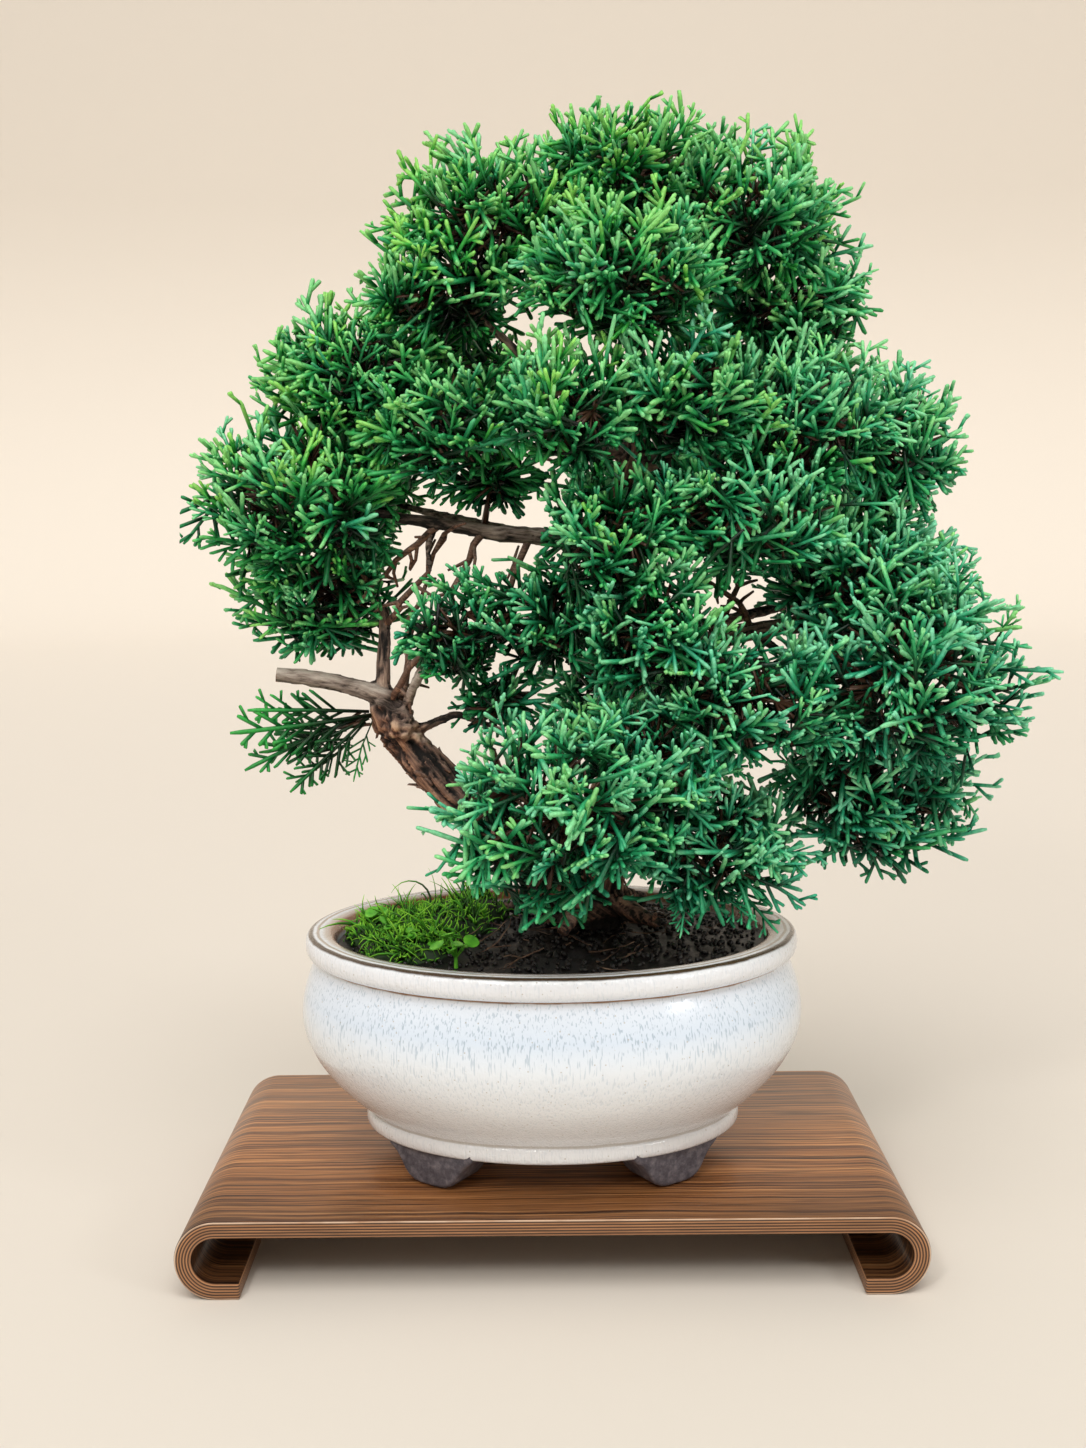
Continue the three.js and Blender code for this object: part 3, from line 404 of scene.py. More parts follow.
def add_foot(shape, side, front):
    """One bare foot under the flange, broad at the top and narrow where it stands."""
    outline = [(-x, z) for x, z in reversed(FOOT_HALF_OUTLINE[1:])] + FOOT_HALF_OUTLINE
    foot = bmesh.new()
    corners = [foot.verts.new((x * FOOT_WIDTH / 2, -FOOT_DEPTH / 2, z * FOOT_HEIGHT)) for x, z in outline]
    face = foot.faces.new(corners)
    pulled = bmesh.ops.extrude_face_region(foot, geom=[face])["geom"]
    bmesh.ops.translate(foot, vec=(0, FOOT_DEPTH, 0), verts=[v for v in pulled if isinstance(v, bmesh.types.BMVert)])
    bmesh.ops.recalc_face_normals(foot, faces=foot.faces)
    rims = [edge for edge in foot.edges if abs(edge.verts[0].co.y - edge.verts[1].co.y) < 1e-6]
    bmesh.ops.bevel(foot, geom=rims, offset=1.3 * MM, affect="EDGES", segments=3, profile=0.5, material=-1)
    across = FLANGE_RADIUS * math.cos(FOOT_ANGLE)
    along = (FLANGE_RADIUS - OVAL_DIFFERENCE) * math.sin(FOOT_ANGLE)
    turn = Matrix.Rotation(math.atan2(-side * front * across, along * 2), 4, "Z")
    seat = Matrix.Translation(pot_centre + Vector((side * across * 0.82, front * along * 0.77, 0)))
    bmesh.ops.transform(foot, matrix=seat @ turn, verts=foot.verts)
    for face in foot.faces:
        face.material_index = 1
    made = bpy.data.meshes.new("foot")
    foot.to_mesh(made)
    foot.free()
    shape.from_mesh(made)
    bpy.data.meshes.remove(made)


bmesh.ops.translate(bowl, vec=pot_centre, verts=bowl.verts)

# Opaque white feldspar glaze, fired glossy: bluish and streaked where it ran thick on the shoulder,
# warmer and finely crazed below, and brown where it drew away from the edges.
glaze, tree, shader = new_material("white_feldspar_glaze")
coords = add_node(tree, "TexCoord").outputs["Object"]
local = add_node(tree, "Mapping", {"Vector": coords, "Location": -pot_centre}).outputs[0]
height = add_node(tree, "SeparateXYZ", {0: local}).outputs["Z"]
run = add_node(tree, "Attribute", attribute_name="run_up").outputs["Fac"]
band = add_node(
    tree,
    "ValToRGB",
    {"Fac": add_node(tree, "Math", {0: height, 1: 0.075}, operation="DIVIDE").outputs[0]},
    stops=[(0.15, 0xEDEFF3), (0.45, 0xF1F4F9), (0.62, 0xEBF2FA), (0.74, 0xDBE8F8), (0.86, 0xE3ECF8), (0.93, 0xEAEDF3)],
)
streak_place = add_node(tree, "Mapping", {"Vector": local, "Scale": (1900.0, 1900.0, 230.0)})
streaks = add_node(tree, "TexNoise", {"Vector": streak_place.outputs[0], "Scale": 1.0, "Detail": 1.0, "Roughness": 0.5})
streak_mask = add_node(tree, "ValToRGB", {"Fac": streaks.outputs["Fac"]}, stops=[(0.35, 0.8), (0.43, 0.0)])
on_shoulder = add_node(
    tree,
    "ValToRGB",
    {"Fac": add_node(tree, "Math", {0: height, 1: 0.075}, operation="DIVIDE").outputs[0]},
    stops=[(0.25, 0.15), (0.6, 0.4), (0.74, 1.0), (0.86, 0.7), (0.92, 0.2)],
)
streak_amount = add_node(
    tree, "Math", {0: streak_mask.outputs["Color"], 1: on_shoulder.outputs["Color"]}, operation="MULTIPLY"
)
streaked = add_node(
    tree, "Mix", {0: streak_amount.outputs[0], 6: band.outputs["Color"], 7: linear(0xA6BACC)}, data_type="RGBA"
)
speckles = add_node(tree, "TexVoronoi", {"Vector": local, "Scale": 420.0}, feature="F1")
speckle_mask = add_node(tree, "ValToRGB", {"Fac": speckles.outputs["Distance"]}, stops=[(0.07, 0.55), (0.13, 0.0)])
speckled = add_node(
    tree,
    "Mix",
    {0: speckle_mask.outputs["Color"], 6: streaked.outputs[2], 7: linear(0xA79B8A)},
    data_type="RGBA",
)
rough_line = add_node(tree, "TexNoise", {"Vector": local, "Scale": 130.0, "Detail": 3.0})
uneven_run = add_node(
    tree, "Math", {0: add_node(tree, "Math", {0: rough_line.outputs["Fac"], 1: 0.9}, operation="MULTIPLY").outputs[0], 1: run},
    operation="ADD",
).outputs[0]
run_lengths = dict(zip([(round(r / MM, 1), round(z / MM, 1)) for r, z in pot_profile], [value / MM for value in lengths]))
groove_run = run_lengths[(75.7, 65.6)] + 1.4
rim_run = run_lengths[(76.6, 74.3)] - 0.3
flange_run = run_lengths[(59.2, 16.4)] + 0.6
inner_run = run_lengths[(70.6, 73.9)] + 1.4
lined = speckled.outputs[2]
for line_run, half_width, colour, strength in (
    (groove_run, 0.7, 0x86592F, 1.0),
    (rim_run, 1.0, 0x4A3828, 1.0),
    (rim_run + 2.4, 0.55, 0x9A8266, 0.75),
    (flange_run, 0.8, 0xA3937F, 0.5),
    (inner_run - 1.6, 2.2, 0xB08A62, 0.6),
    (inner_run + 0.6, 2.4, 0x8A5528, 0.95),
):
    apart = add_node(tree, "Math", {0: uneven_run, 1: line_run + 0.45}, operation="SUBTRACT")
    off = add_node(tree, "Math", {0: apart.outputs[0]}, operation="ABSOLUTE")
    mask = add_node(tree, "MapRange", {"Value": off.outputs[0], 1: half_width * 0.55, 2: half_width * 1.15, 3: strength, 4: 0.0})
    lined = add_node(tree, "Mix", {0: mask.outputs[0], 6: lined, 7: linear(colour)}, data_type="RGBA").outputs[2]
tree.links.new(lined, shader.inputs["Base Color"])
shader.inputs["Roughness"].default_value = 0.13
shader.inputs["IOR"].default_value = 1.52
shader.inputs["Coat Weight"].default_value = 0.4
shader.inputs["Coat Roughness"].default_value = 0.05
ripple = add_node(tree, "TexNoise", {"Vector": local, "Scale": 430.0, "Detail": 1.0, "Distortion": 1.2})
dimples = add_node(tree, "Math", {0: streaks.outputs["Fac"], 1: ripple.outputs["Fac"]}, operation="ADD")
dimpled = add_node(tree, "MapRange", {"Value": on_shoulder.outputs["Color"], 1: 0.1, 2: 0.7, 3: 0.45, 4: 0.08})
glaze_bump = add_node(
    tree, "Bump", {"Height": dimples.outputs[0], "Strength": dimpled.outputs[0], "Distance": 0.0006}
)
tree.links.new(glaze_bump.outputs[0], shader.inputs["Normal"])

# Bare stoneware clay, fired dark and brushed: matt slate grey with pale scuffs on its high spots.
clay, tree, shader = new_material("bare_stoneware_clay")
coords = add_node(tree, "TexCoord").outputs["Object"]
clay_noise = add_node(tree, "TexNoise", {"Vector": coords, "Scale": 420.0, "Detail": 6.0, "Roughness": 0.7})
clay_tones = add_node(
    tree,
    "ValToRGB",
    {"Fac": clay_noise.outputs["Fac"]},
    stops=[(0.3, 0x413E46), (0.5, 0x5C5860), (0.64, 0x757077), (0.8, 0x9C9597)],
)
tree.links.new(clay_tones.outputs["Color"], shader.inputs["Base Color"])
shader.inputs["Roughness"].default_value = 0.8
clay_bump = add_node(tree, "Bump", {"Height": clay_noise.outputs["Fac"], "Strength": 0.5, "Distance": 0.0004})
tree.links.new(clay_bump.outputs[0], shader.inputs["Normal"])

pot = add_piece("oval_pot", bowl, glaze, clay)
shade_smooth(pot, below=50)

# The two drain holes in the floor.
drills = bmesh.new()
for side in (-1, 1):
    drill_place = Matrix.Translation(pot_centre + Vector((side * DRAIN_X, 0, (FOOT_HEIGHT + FLOOR_TOP) / 2)))
    bmesh.ops.create_cone(
        drills, cap_ends=True, segments=32, radius1=DRAIN_RADIUS, radius2=DRAIN_RADIUS, depth=12 * MM, matrix=drill_place
    )
drill = add_piece("drill", drills)


def keep_result(piece, modifier):
    """Applies a modifier's result to the piece's own mesh."""
    graph = bpy.context.evaluated_depsgraph_get()
    result = bpy.data.meshes.new_from_object(piece.evaluated_get(graph), preserve_all_data_layers=True, depsgraph=graph)
    old = piece.data
    piece.modifiers.remove(modifier)
    piece.data = result
    bpy.data.meshes.remove(old)


drilling = pot.modifiers.new("drain holes", "BOOLEAN")
drilling.object = drill
drilling.solver = "EXACT"
keep_result(pot, drilling)
bpy.data.objects.remove(drill)

# The feet are joined to the underside of the drilled bowl.
footed = bmesh.new()
footed.from_mesh(pot.data)
for side in (-1, 1):
    for front in (-1, 1):
        add_foot(footed, side, front)
footed.to_mesh(pot.data)
footed.free()
shade_smooth(pot, below=50)
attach(pot, "root")
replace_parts(pot, "pot")


# Drain screens.
# Two squares of black plastic mesh over the drain holes, hidden under the soil.
screen_plastic, tree, shader = new_material("black_polypropylene_screen")
coords = add_node(tree, "TexCoord").outputs["Object"]
dust = add_node(tree, "TexNoise", {"Vector": coords, "Scale": 300.0, "Detail": 4.0})
dusty = add_node(tree, "ValToRGB", {"Fac": dust.outputs["Fac"]}, stops=[(0.35, 0x171717), (0.7, 0x35302B)])
tree.links.new(dusty.outputs["Color"], shader.inputs["Base Color"])
shader.inputs["Roughness"].default_value = 0.6
for screen_name in ("drain_screen_left", "drain_screen_right"):
    for material_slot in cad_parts[screen_name].material_slots:
        material_slot.material = screen_plastic


# Soil.
# Dark akadama and humus that fill the pot and mound up round the trunk: grains one or two
# millimetres across, with fine dead roots lying through them.
SOIL_EDGE = 70.5
SOIL_CROWN = 76
SOIL_RADIUS = 68.0


def soil_height(x, y):
    """Height of the soil over the pot's base at a place measured from the pot's centre, in metres."""
    radius = math.hypot(x, y)
    stretched = radius / max(1e-9, radius - OVAL_DIFFERENCE * min(1, radius / FLANGE_RADIUS)) if radius else 1
    wide = min(1, math.hypot(x, y * stretched) / (SOIL_RADIUS * MM))
    mound = (SOIL_CROWN - SOIL_EDGE) * (1 - wide**1.7)
    return (SOIL_EDGE + mound) * MM


soil_profile = [(0, 19.3), (49.5, 19.3), (65.5, 31.2), (72.3, 48), (70, 58), (68, 64.8)]
for ring in range(34):
    radius = SOIL_RADIUS * (1 - ring / 33)
    soil_profile.append((radius, soil_height(radius * MM, 0) / MM))
soil_shape = turned_shape([(radius * MM, height * MM) for radius, height in soil_profile], 110)
press_oval(soil_shape)
for vert in soil_shape.verts:
    if vert.co.z > SOIL_EDGE * MM - 0.1 * MM:
        spot = Vector(vert.co)
        crumbs = noise.noise(spot * 420) * 0.7 + noise.noise(spot * 950) * 0.5
        vert.co.z += (crumbs - 0.2) * MM
bmesh.ops.translate(soil_shape, vec=pot_centre, verts=soil_shape.verts)

soil_random = random.Random(41)
GRAINS = 1500
grain_sample = bmesh.new()
bmesh.ops.create_icosphere(grain_sample, subdivisions=1, radius=1)
grain_mesh = bpy.data.meshes.new("grain")
grain_sample.to_mesh(grain_mesh)
grain_sample.free()
for _ in range(GRAINS):
    turn = soil_random.uniform(0, 2 * math.pi)
    out = math.sqrt(soil_random.random()) * (SOIL_RADIUS - 2.5) * MM
    x = out * math.cos(turn)
    y = out * math.sin(turn) * (out - OVAL_DIFFERENCE * min(1, out / FLANGE_RADIUS)) / out
    size = soil_random.uniform(0.55, 1.35) * MM
    seat = pot_centre + Vector((x, y, soil_height(x, y) + size * 0.1))
    roll = Euler([soil_random.uniform(0, 6) for _ in range(3)]).to_matrix().to_4x4()
    squeeze = Matrix.Diagonal((size, size * soil_random.uniform(0.6, 1), size * soil_random.uniform(0.5, 0.9), 1))
    grain_mesh.transform(Matrix.Translation(seat) @ roll @ squeeze)
    soil_shape.from_mesh(grain_mesh)
    grain_mesh.transform((Matrix.Translation(seat) @ roll @ squeeze).inverted())
bpy.data.meshes.remove(grain_mesh)


def add_strand(shape, points, radii, sides):
    """A thin closed strand through points, such as a root, a blade or a shoot, with a radius at each.
    Returns the rings of points along it."""
    rings = []
    heading = (points[1] - points[0]).normalized()
    turn = heading.to_track_quat("Z", "Y")
    for index, (point, radius) in enumerate(zip(points, radii)):
        ahead = (points[min(index + 1, len(points) - 1)] - points[max(index - 1, 0)]).normalized()
        turn = heading.rotation_difference(ahead) @ turn
        heading = ahead
        next_place = Matrix.Translation(point) @ turn.to_matrix().to_4x4() @ Matrix.Scale(radius, 4)
        if not rings:
            ring = bmesh.ops.create_circle(shape, cap_ends=True, segments=sides, radius=1, matrix=next_place)["verts"]
            rim = list({edge for vert in ring for edge in vert.link_edges})
        else:
            pulled = bmesh.ops.extrude_edge_only(shape, edges=rim)["geom"]
            ring = [item for item in pulled if isinstance(item, bmesh.types.BMVert)]
            fresh = set(ring)
            rim = [item for item in pulled if isinstance(item, bmesh.types.BMEdge) and fresh.issuperset(item.verts)]
            bmesh.ops.transform(shape, matrix=next_place @ place.inverted(), verts=ring)
        rings.append(ring)
        place = next_place
    bmesh.ops.contextual_create(shape, geom=rim)
    return rings


def sample_of(shape):
    """A small finished shape kept as a mesh, ready to be copied many times."""
    bmesh.ops.recalc_face_normals(shape, faces=shape.faces)
    sample = bpy.data.meshes.new("sample")
    shape.to_mesh(sample)
    shape.free()
    return sample


def add_copy(shape, sample, place):
    """Adds a copy of a sample at a place, turn and size."""
    sample.transform(place)
    shape.from_mesh(sample, face_normals=False, vertex_normals=False)
    sample.transform(place.inverted())


ROOT_STRANDS = 90
root_samples = []
for _ in range(6):
    root = bmesh.new()
    heading = Vector((1, 0, 0))
    points = [Vector((0, 0, 0))]
    for _ in range(9):
        heading.rotate(Euler((0, soil_random.uniform(-0.25, 0.25), soil_random.uniform(-0.55, 0.55))))
        points.append(points[-1] + heading * 1.3 * MM)
    add_strand(root, points, [0.2 * MM * (1 - 0.06 * i) for i in range(10)], 4)
    root_samples.append(sample_of(root))
for face in soil_shape.faces:
    face.material_index = 0
soil_faces = len(soil_shape.faces)
for _ in range(ROOT_STRANDS):
    turn = soil_random.uniform(0, 2 * math.pi)
    out = math.sqrt(soil_random.random()) * (SOIL_RADIUS - 12) * MM
    x = out * math.cos(turn)
    y = out * math.sin(turn) * 0.76
    seat = pot_centre + Vector((x, y, soil_height(x, y) + 0.7 * MM))
    roll = Euler((soil_random.uniform(-0.4, 0.4), soil_random.uniform(-0.25, 0.25), soil_random.uniform(0, 6.3)))
    stretch = Matrix.Scale(soil_random.uniform(0.6, 1.5), 4)
    add_copy(soil_shape, soil_random.choice(root_samples), Matrix.Translation(seat) @ roll.to_matrix().to_4x4() @ stretch)
soil_shape.faces.ensure_lookup_table()
for face in soil_shape.faces[soil_faces:]:
    face.material_index = 1

# Damp humus and lava grit: almost black, with brown crumbs and a little wet shine.
humus, tree, shader = new_material("damp_humus_and_grit")
coords = add_node(tree, "TexCoord").outputs["Object"]
crumb = add_node(tree, "TexNoise", {"Vector": coords, "Scale": 330.0, "Detail": 4.0, "Roughness": 0.65})
soil_tones = add_node(
    tree,
    "ValToRGB",
    {"Fac": crumb.outputs["Fac"]},
    stops=[(0.32, 0x060505), (0.52, 0x120E0D), (0.64, 0x1E1714), (0.78, 0x43342B)],
)
tree.links.new(soil_tones.outputs["Color"], shader.inputs["Base Color"])
shader.inputs["Roughness"].default_value = 0.48
crumb_bump = add_node(tree, "Bump", {"Height": crumb.outputs["Fac"], "Strength": 0.7, "Distance": 0.0006})
tree.links.new(crumb_bump.outputs[0], shader.inputs["Normal"])

# Dead hair roots, dried to a dull tan.
dead_root, tree, shader = new_material("dry_hair_root")
coords = add_node(tree, "TexCoord").outputs["Object"]
root_noise = add_node(tree, "TexNoise", {"Vector": coords, "Scale": 240.0, "Detail": 2.0})
root_tones = add_node(
    tree, "ValToRGB", {"Fac": root_noise.outputs["Fac"]}, stops=[(0.35, 0x3A2A20), (0.55, 0x6B5140), (0.75, 0xA58B74)]
)
tree.links.new(root_tones.outputs["Color"], shader.inputs["Base Color"])
shader.inputs["Roughness"].default_value = 0.8
soil_piece = add_piece("humus_soil", soil_shape, humus, dead_root)
shade_smooth(soil_piece, below=60)
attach(soil_piece, "root")
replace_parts(soil_piece, "soil")


# Moss.
# A living cushion of moss on the left end of the soil: low humps covered with fine upright leaves,
# with thin grass and a few curling runners growing through them.
MOSS_HUMPS = [(-52, -2, 14, 7), (-45, -19, 13, 6), (-37, -5, 18, 10), (-28, 8, 14, 9), (-39, -25, 9, 5)]
MOSS_LEAVES = 2600
GRASS_BLADES = 420
RUNNERS = 34
moss_random = random.Random(7)


def in_pot(x, y, margin):
    """Whether a place in mm from the pot's centre is inside the rim, with room to spare."""
    return math.hypot(x / (SOIL_RADIUS - margin), y / (SOIL_RADIUS - OVAL_DIFFERENCE / MM - margin)) < 1


def moss_top(x, y):
    """Height in mm of the moss cushion over the pot's base, or of the soil where there is none."""
    ground = soil_height(x * MM, y * MM) / MM
    top = ground
    for hump_x, hump_y, radius, rise in MOSS_HUMPS:
        far = math.hypot(x - hump_x, (y - hump_y) / 0.85) / radius
        if far < 1:
            top = max(top, ground + rise * 0.75 * math.sqrt(1 - far * far))
    return top


moss_shape = bmesh.new()
for hump_x, hump_y, radius, rise in MOSS_HUMPS:
    bumpy = bmesh.new()
    bmesh.ops.create_icosphere(bumpy, subdivisions=4, radius=1)
    for vert in bumpy.verts:
        x = hump_x + vert.co.x * radius
        y = hump_y + vert.co.y * radius * 0.85
        if not in_pot(x, y, 1.2):
            inward = min(1, 0.98 * SOIL_RADIUS / max(1, math.hypot(x, y * 1.35)))
            x, y = x * inward, y * inward
        lift = moss_top(x, y) if vert.co.z > 0 else soil_height(x * MM, y * MM) / MM + vert.co.z * 2.5
        vert.co = pot_centre + Vector((x, y, lift)) * MM
    for vert in bumpy.verts:
        vert.co.z += (noise.noise(vert.co * 300) * 0.9 + noise.noise(vert.co * 800) * 0.4) * MM
    hump = sample_of(bumpy)
    moss_shape.from_mesh(hump)
    bpy.data.meshes.remove(hump)


def blade_sample(length, radius, lean, curl, steps, sides):
    """A tapering blade that leans and curls over, standing on the origin."""
    blade = bmesh.new()
    points = [Vector((0, 0, 0))]
    heading = Euler((0, lean, 0)).to_matrix() @ Vector((0, 0, 1))
    for _ in range(steps):
        points.append(points[-1] + heading * length / steps)
        heading = Euler((0, curl / steps, 0)).to_matrix() @ heading
    radii = [radius * (1 - 0.85 * (i / steps) ** 1.6) for i in range(steps + 1)]
    height = blade.verts.layers.float.new("height")
    rings = add_strand(blade, points, radii, sides)
    for index, ring in enumerate(rings):
        for vert in ring:
            vert[height] = index / steps
    return sample_of(blade)


def stand_blades(shape, samples, count, scale_from, scale_to, margin):
    """Scatters copies of blades evenly over each hump of the cushion, leaving gaps between clumps."""
    for index in range(count):
        hump_x, hump_y, radius, rise = MOSS_HUMPS[index % len(MOSS_HUMPS)]
        turn = moss_random.uniform(0, 2 * math.pi)
        out = math.sqrt(moss_random.random()) * 1.02 * radius
        x, y = hump_x + out * math.cos(turn), hump_y + 0.85 * out * math.sin(turn)
        if not in_pot(x, y, margin):
            continue
        seat = pot_centre + Vector((x, y, moss_top(x, y) - 0.5)) * MM
        clump = 1 + 1.5 * noise.noise(seat / (6 * MM))
        if clump < 0.6:
            continue
        lean = Euler((moss_random.uniform(-0.8, 0.8), moss_random.uniform(-0.8, 0.8), moss_random.uniform(0, 6.3)))
        size = Matrix.Scale(moss_random.uniform(scale_from, scale_to) * min(1.35, clump), 4)
        add_copy(shape, moss_random.choice(samples), Matrix.Translation(seat) @ lean.to_matrix().to_4x4() @ size)


moss_leaves = [blade_sample(2.8 * MM, 0.42 * MM, 0.25 * i, 0.5 + 0.4 * i, 2, 3) for i in range(4)]
grass = [blade_sample(9 * MM, 0.36 * MM, 0.15 * i, 0.6 + 0.5 * i, 5, 3) for i in range(5)]
runners = [blade_sample(20 * MM, 0.36 * MM, 0.3, 1.0 + 1.1 * i, 9, 4) for i in range(4)]
stand_blades(moss_shape, moss_leaves, MOSS_LEAVES, 0.7, 1.4, 1.5)
stand_blades(moss_shape, grass, GRASS_BLADES, 0.45, 1.3, 3)
stand_blades(moss_shape, runners, RUNNERS, 0.55, 0.95, 9)

# Living moss and grass: matt yellow-green at the tips and deep green down in the cushion, darkened
# there to near black as painted shade.
moss_green, tree, shader = new_material("living_moss_and_grass")
coords = add_node(tree, "TexCoord").outputs["Object"]
tip = add_node(tree, "Attribute", attribute_name="height").outputs["Fac"]
patches = add_node(tree, "TexNoise", {"Vector": coords, "Scale": 130.0, "Detail": 3.0})
mixed = add_node(tree, "Math", {0: tip, 1: patches.outputs["Fac"]}, operation="ADD")
# Painted shade: the feet of the blades and the cushion between them go near black.
moss_tones = add_node(
    tree,
    "ValToRGB",
    {"Fac": add_node(tree, "Math", {0: mixed.outputs[0], 1: 0.6}, operation="MULTIPLY").outputs[0]},
    stops=[(0.24, 0x081203), (0.44, 0x1A4206), (0.64, 0x449211), (0.88, 0x92D634)],
)
tree.links.new(moss_tones.outputs["Color"], shader.inputs["Base Color"])
shader.inputs["Roughness"].default_value = 0.7
moss_piece = add_piece("moss_and_grass", moss_shape, moss_green)
shade_smooth(moss_piece)
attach(moss_piece, "root")
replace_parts(moss_piece, "moss")


# Seedling.
# A young clover beside the moss: round fresh leaves, slightly cupped, on thin stalks from one root.
seedling_low, seedling_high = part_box("seedling")
seedling_root = Vector(
    ((seedling_low.x + seedling_high.x) / 2, (seedling_low.y + seedling_high.y) / 2, seedling_low.z + 4.5 * MM)
)
clover_random = random.Random(3)
clover = bmesh.new()
CLOVER_LEAVES = 9


def add_clover(shape, root, leaf_count, reach_from, reach_to, rise_from, rise_to):
    """A small clover: round cupped leaves all round, each on its own thin stalk."""
    for index in range(leaf_count):
        turn = index / leaf_count * 2 * math.pi + clover_random.uniform(-0.3, 0.3)
        reach = clover_random.uniform(reach_from, reach_to) * MM
        rise = clover_random.uniform(rise_from, rise_to) * MM
        top = root + Vector((reach * math.cos(turn), reach * math.sin(turn), rise))
        middle = root.lerp(top, 0.5) + Vector((0, 0, 1.2 * MM))
        add_strand(shape, [root, middle, top], [0.4 * MM, 0.3 * MM, 0.25 * MM], 5)
        leaf_size = clover_random.uniform(1.3, 2.2) * MM
        tilt = Euler((clover_random.uniform(-0.5, 0.5), clover_random.uniform(-0.5, 0.5), turn))
        leaf = bmesh.new()
        bmesh.ops.create_circle(leaf, cap_ends=True, segments=12, radius=leaf_size)
        bmesh.ops.poke(leaf, faces=leaf.faces)
        for vert in leaf.verts:
            vert.co.x *= 1.2
            vert.co.z = 0.12 * (vert.co.x**2 + vert.co.y**2) / leaf_size
        bmesh.ops.solidify(leaf, geom=leaf.faces[:], thickness=0.3 * MM)
        bmesh.ops.transform(leaf, matrix=Matrix.Translation(top) @ tilt.to_matrix().to_4x4(), verts=leaf.verts)
        leaf_mesh = sample_of(leaf)
        shape.from_mesh(leaf_mesh)
        bpy.data.meshes.remove(leaf_mesh)


add_clover(clover, seedling_root, CLOVER_LEAVES, 2.0, 6.4, 2.5, 7.5)
bmesh.ops.create_cone(
    clover,
    cap_ends=True,
    segments=8,
    radius1=0.7 * MM,
    radius2=0.5 * MM,
    depth=6 * MM,
    matrix=Matrix.Translation(seedling_root - Vector((0, 0, 2 * MM))),
)

# Fresh clover leaf: light satin green, mottled paler and darker.
clover_green, tree, shader = new_material("fresh_clover_leaf")
coords = add_node(tree, "TexCoord").outputs["Object"]
leaf_noise = add_node(tree, "TexNoise", {"Vector": coords, "Scale": 380.0, "Detail": 3.0})
leaf_tones = add_node(
    tree, "ValToRGB", {"Fac": leaf_noise.outputs["Fac"]}, stops=[(0.3, 0x3F8C1E), (0.55, 0x5DB02B), (0.8, 0x8ED24A)]
)
tree.links.new(leaf_tones.outputs["Color"], shader.inputs["Base Color"])
shader.inputs["Roughness"].default_value = 0.45
seedling_piece = add_piece("clover_seedling", clover, clover_green)
shade_smooth(seedling_piece, below=50)
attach(seedling_piece, "root")
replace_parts(seedling_piece, "seedling")

# More young clovers that came up through the moss.
CLOVERS_IN_MOSS = [(-56, -4, 6), (-50, -16, 7), (-43, -25, 6), (-46, 12, 8), (-33, -27, 5), (-25, 12, 6)]
moss_clover = bmesh.new()
for x, y, leaf_count in CLOVERS_IN_MOSS:
    root = pot_centre + Vector((x, y, moss_top(x, y) - 0.6)) * MM
    add_clover(moss_clover, root, leaf_count, 1.2, 4.2, 1.8, 4.6)
moss_clover_piece = add_piece("clover_in_moss", moss_clover, clover_green)
shade_smooth(moss_clover_piece, below=50)
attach(moss_clover_piece, "root")


# Wood.
# The juniper's own wood, grown as one: the trunk behind the foliage, the heavy branch that leans out
# to the left over the pot, the dead stub at its knot, and the limbs. Its bark comes off in strips.
# Middle lines of the limbs in mm from the floor under the middle of the stand, with how grey each is.
LIMB_LINES = {
    "trunk": (0.1, [(12, -8, 80), (12, -8, 109), (16.5, -6, 125), (26, -4, 147), (33, -2, 171), (33, 0, 190), (27, 0, 211),
                    (23, 2, 232), (29, 5, 251), (32, 5, 269), (26, 3, 288), (21, 0, 306)]),
    "leaning_branch": (0.15, [(12, -9, 108), (-9, -12, 124), (-25.5, -12, 138), (-37.5, -12, 151), (-46.5, -10, 161), (-52, -8, 172)]),
    "dead_stub": (0.9, [(-48, -9, 172), (-60, -8.5, 176.5), (-72, -9, 179), (-86.4, -10, 181)]),
    "twig_at_knot": (0.65, [(-44, -10, 162), (-33.7, -13, 168), (-20.4, -17, 167.5), (-13, -22, 164)]),
    "left_limb": (0.75, [(25, 1, 216), (9, -4, 221), (-5, -6, 223.5), (-21, -8, 224.5), (-35, -8, 228), (-50, -9, 229.5)]),
    "lower_left_limb": (0.35, [(-52, -8, 171), (-51.5, -6, 187), (-51, -3, 198), (-55, 1, 206)]),
    "upper_left_limb": (0.5, [(31.5, 5, 266), (17, -2, 264.5), (3, -8, 269.5), (-7.6, -12, 277.5), (-17, -14, 288)]),
    "high_left_limb": (0.4, [(29, 5, 248), (8, 8, 252.5), (-13, 8, 262), (-33, 6, 269)]),
    "right_limb": (0.35, [(33, 0, 185), (48.5, -4, 189), (64, -8, 193), (80, -12, 195), (94, -20, 191)]),
    "high_right_limb": (0.4, [(29, 5, 245), (49, 3, 249), (68, 3, 250), (88, 4, 252)]),
}
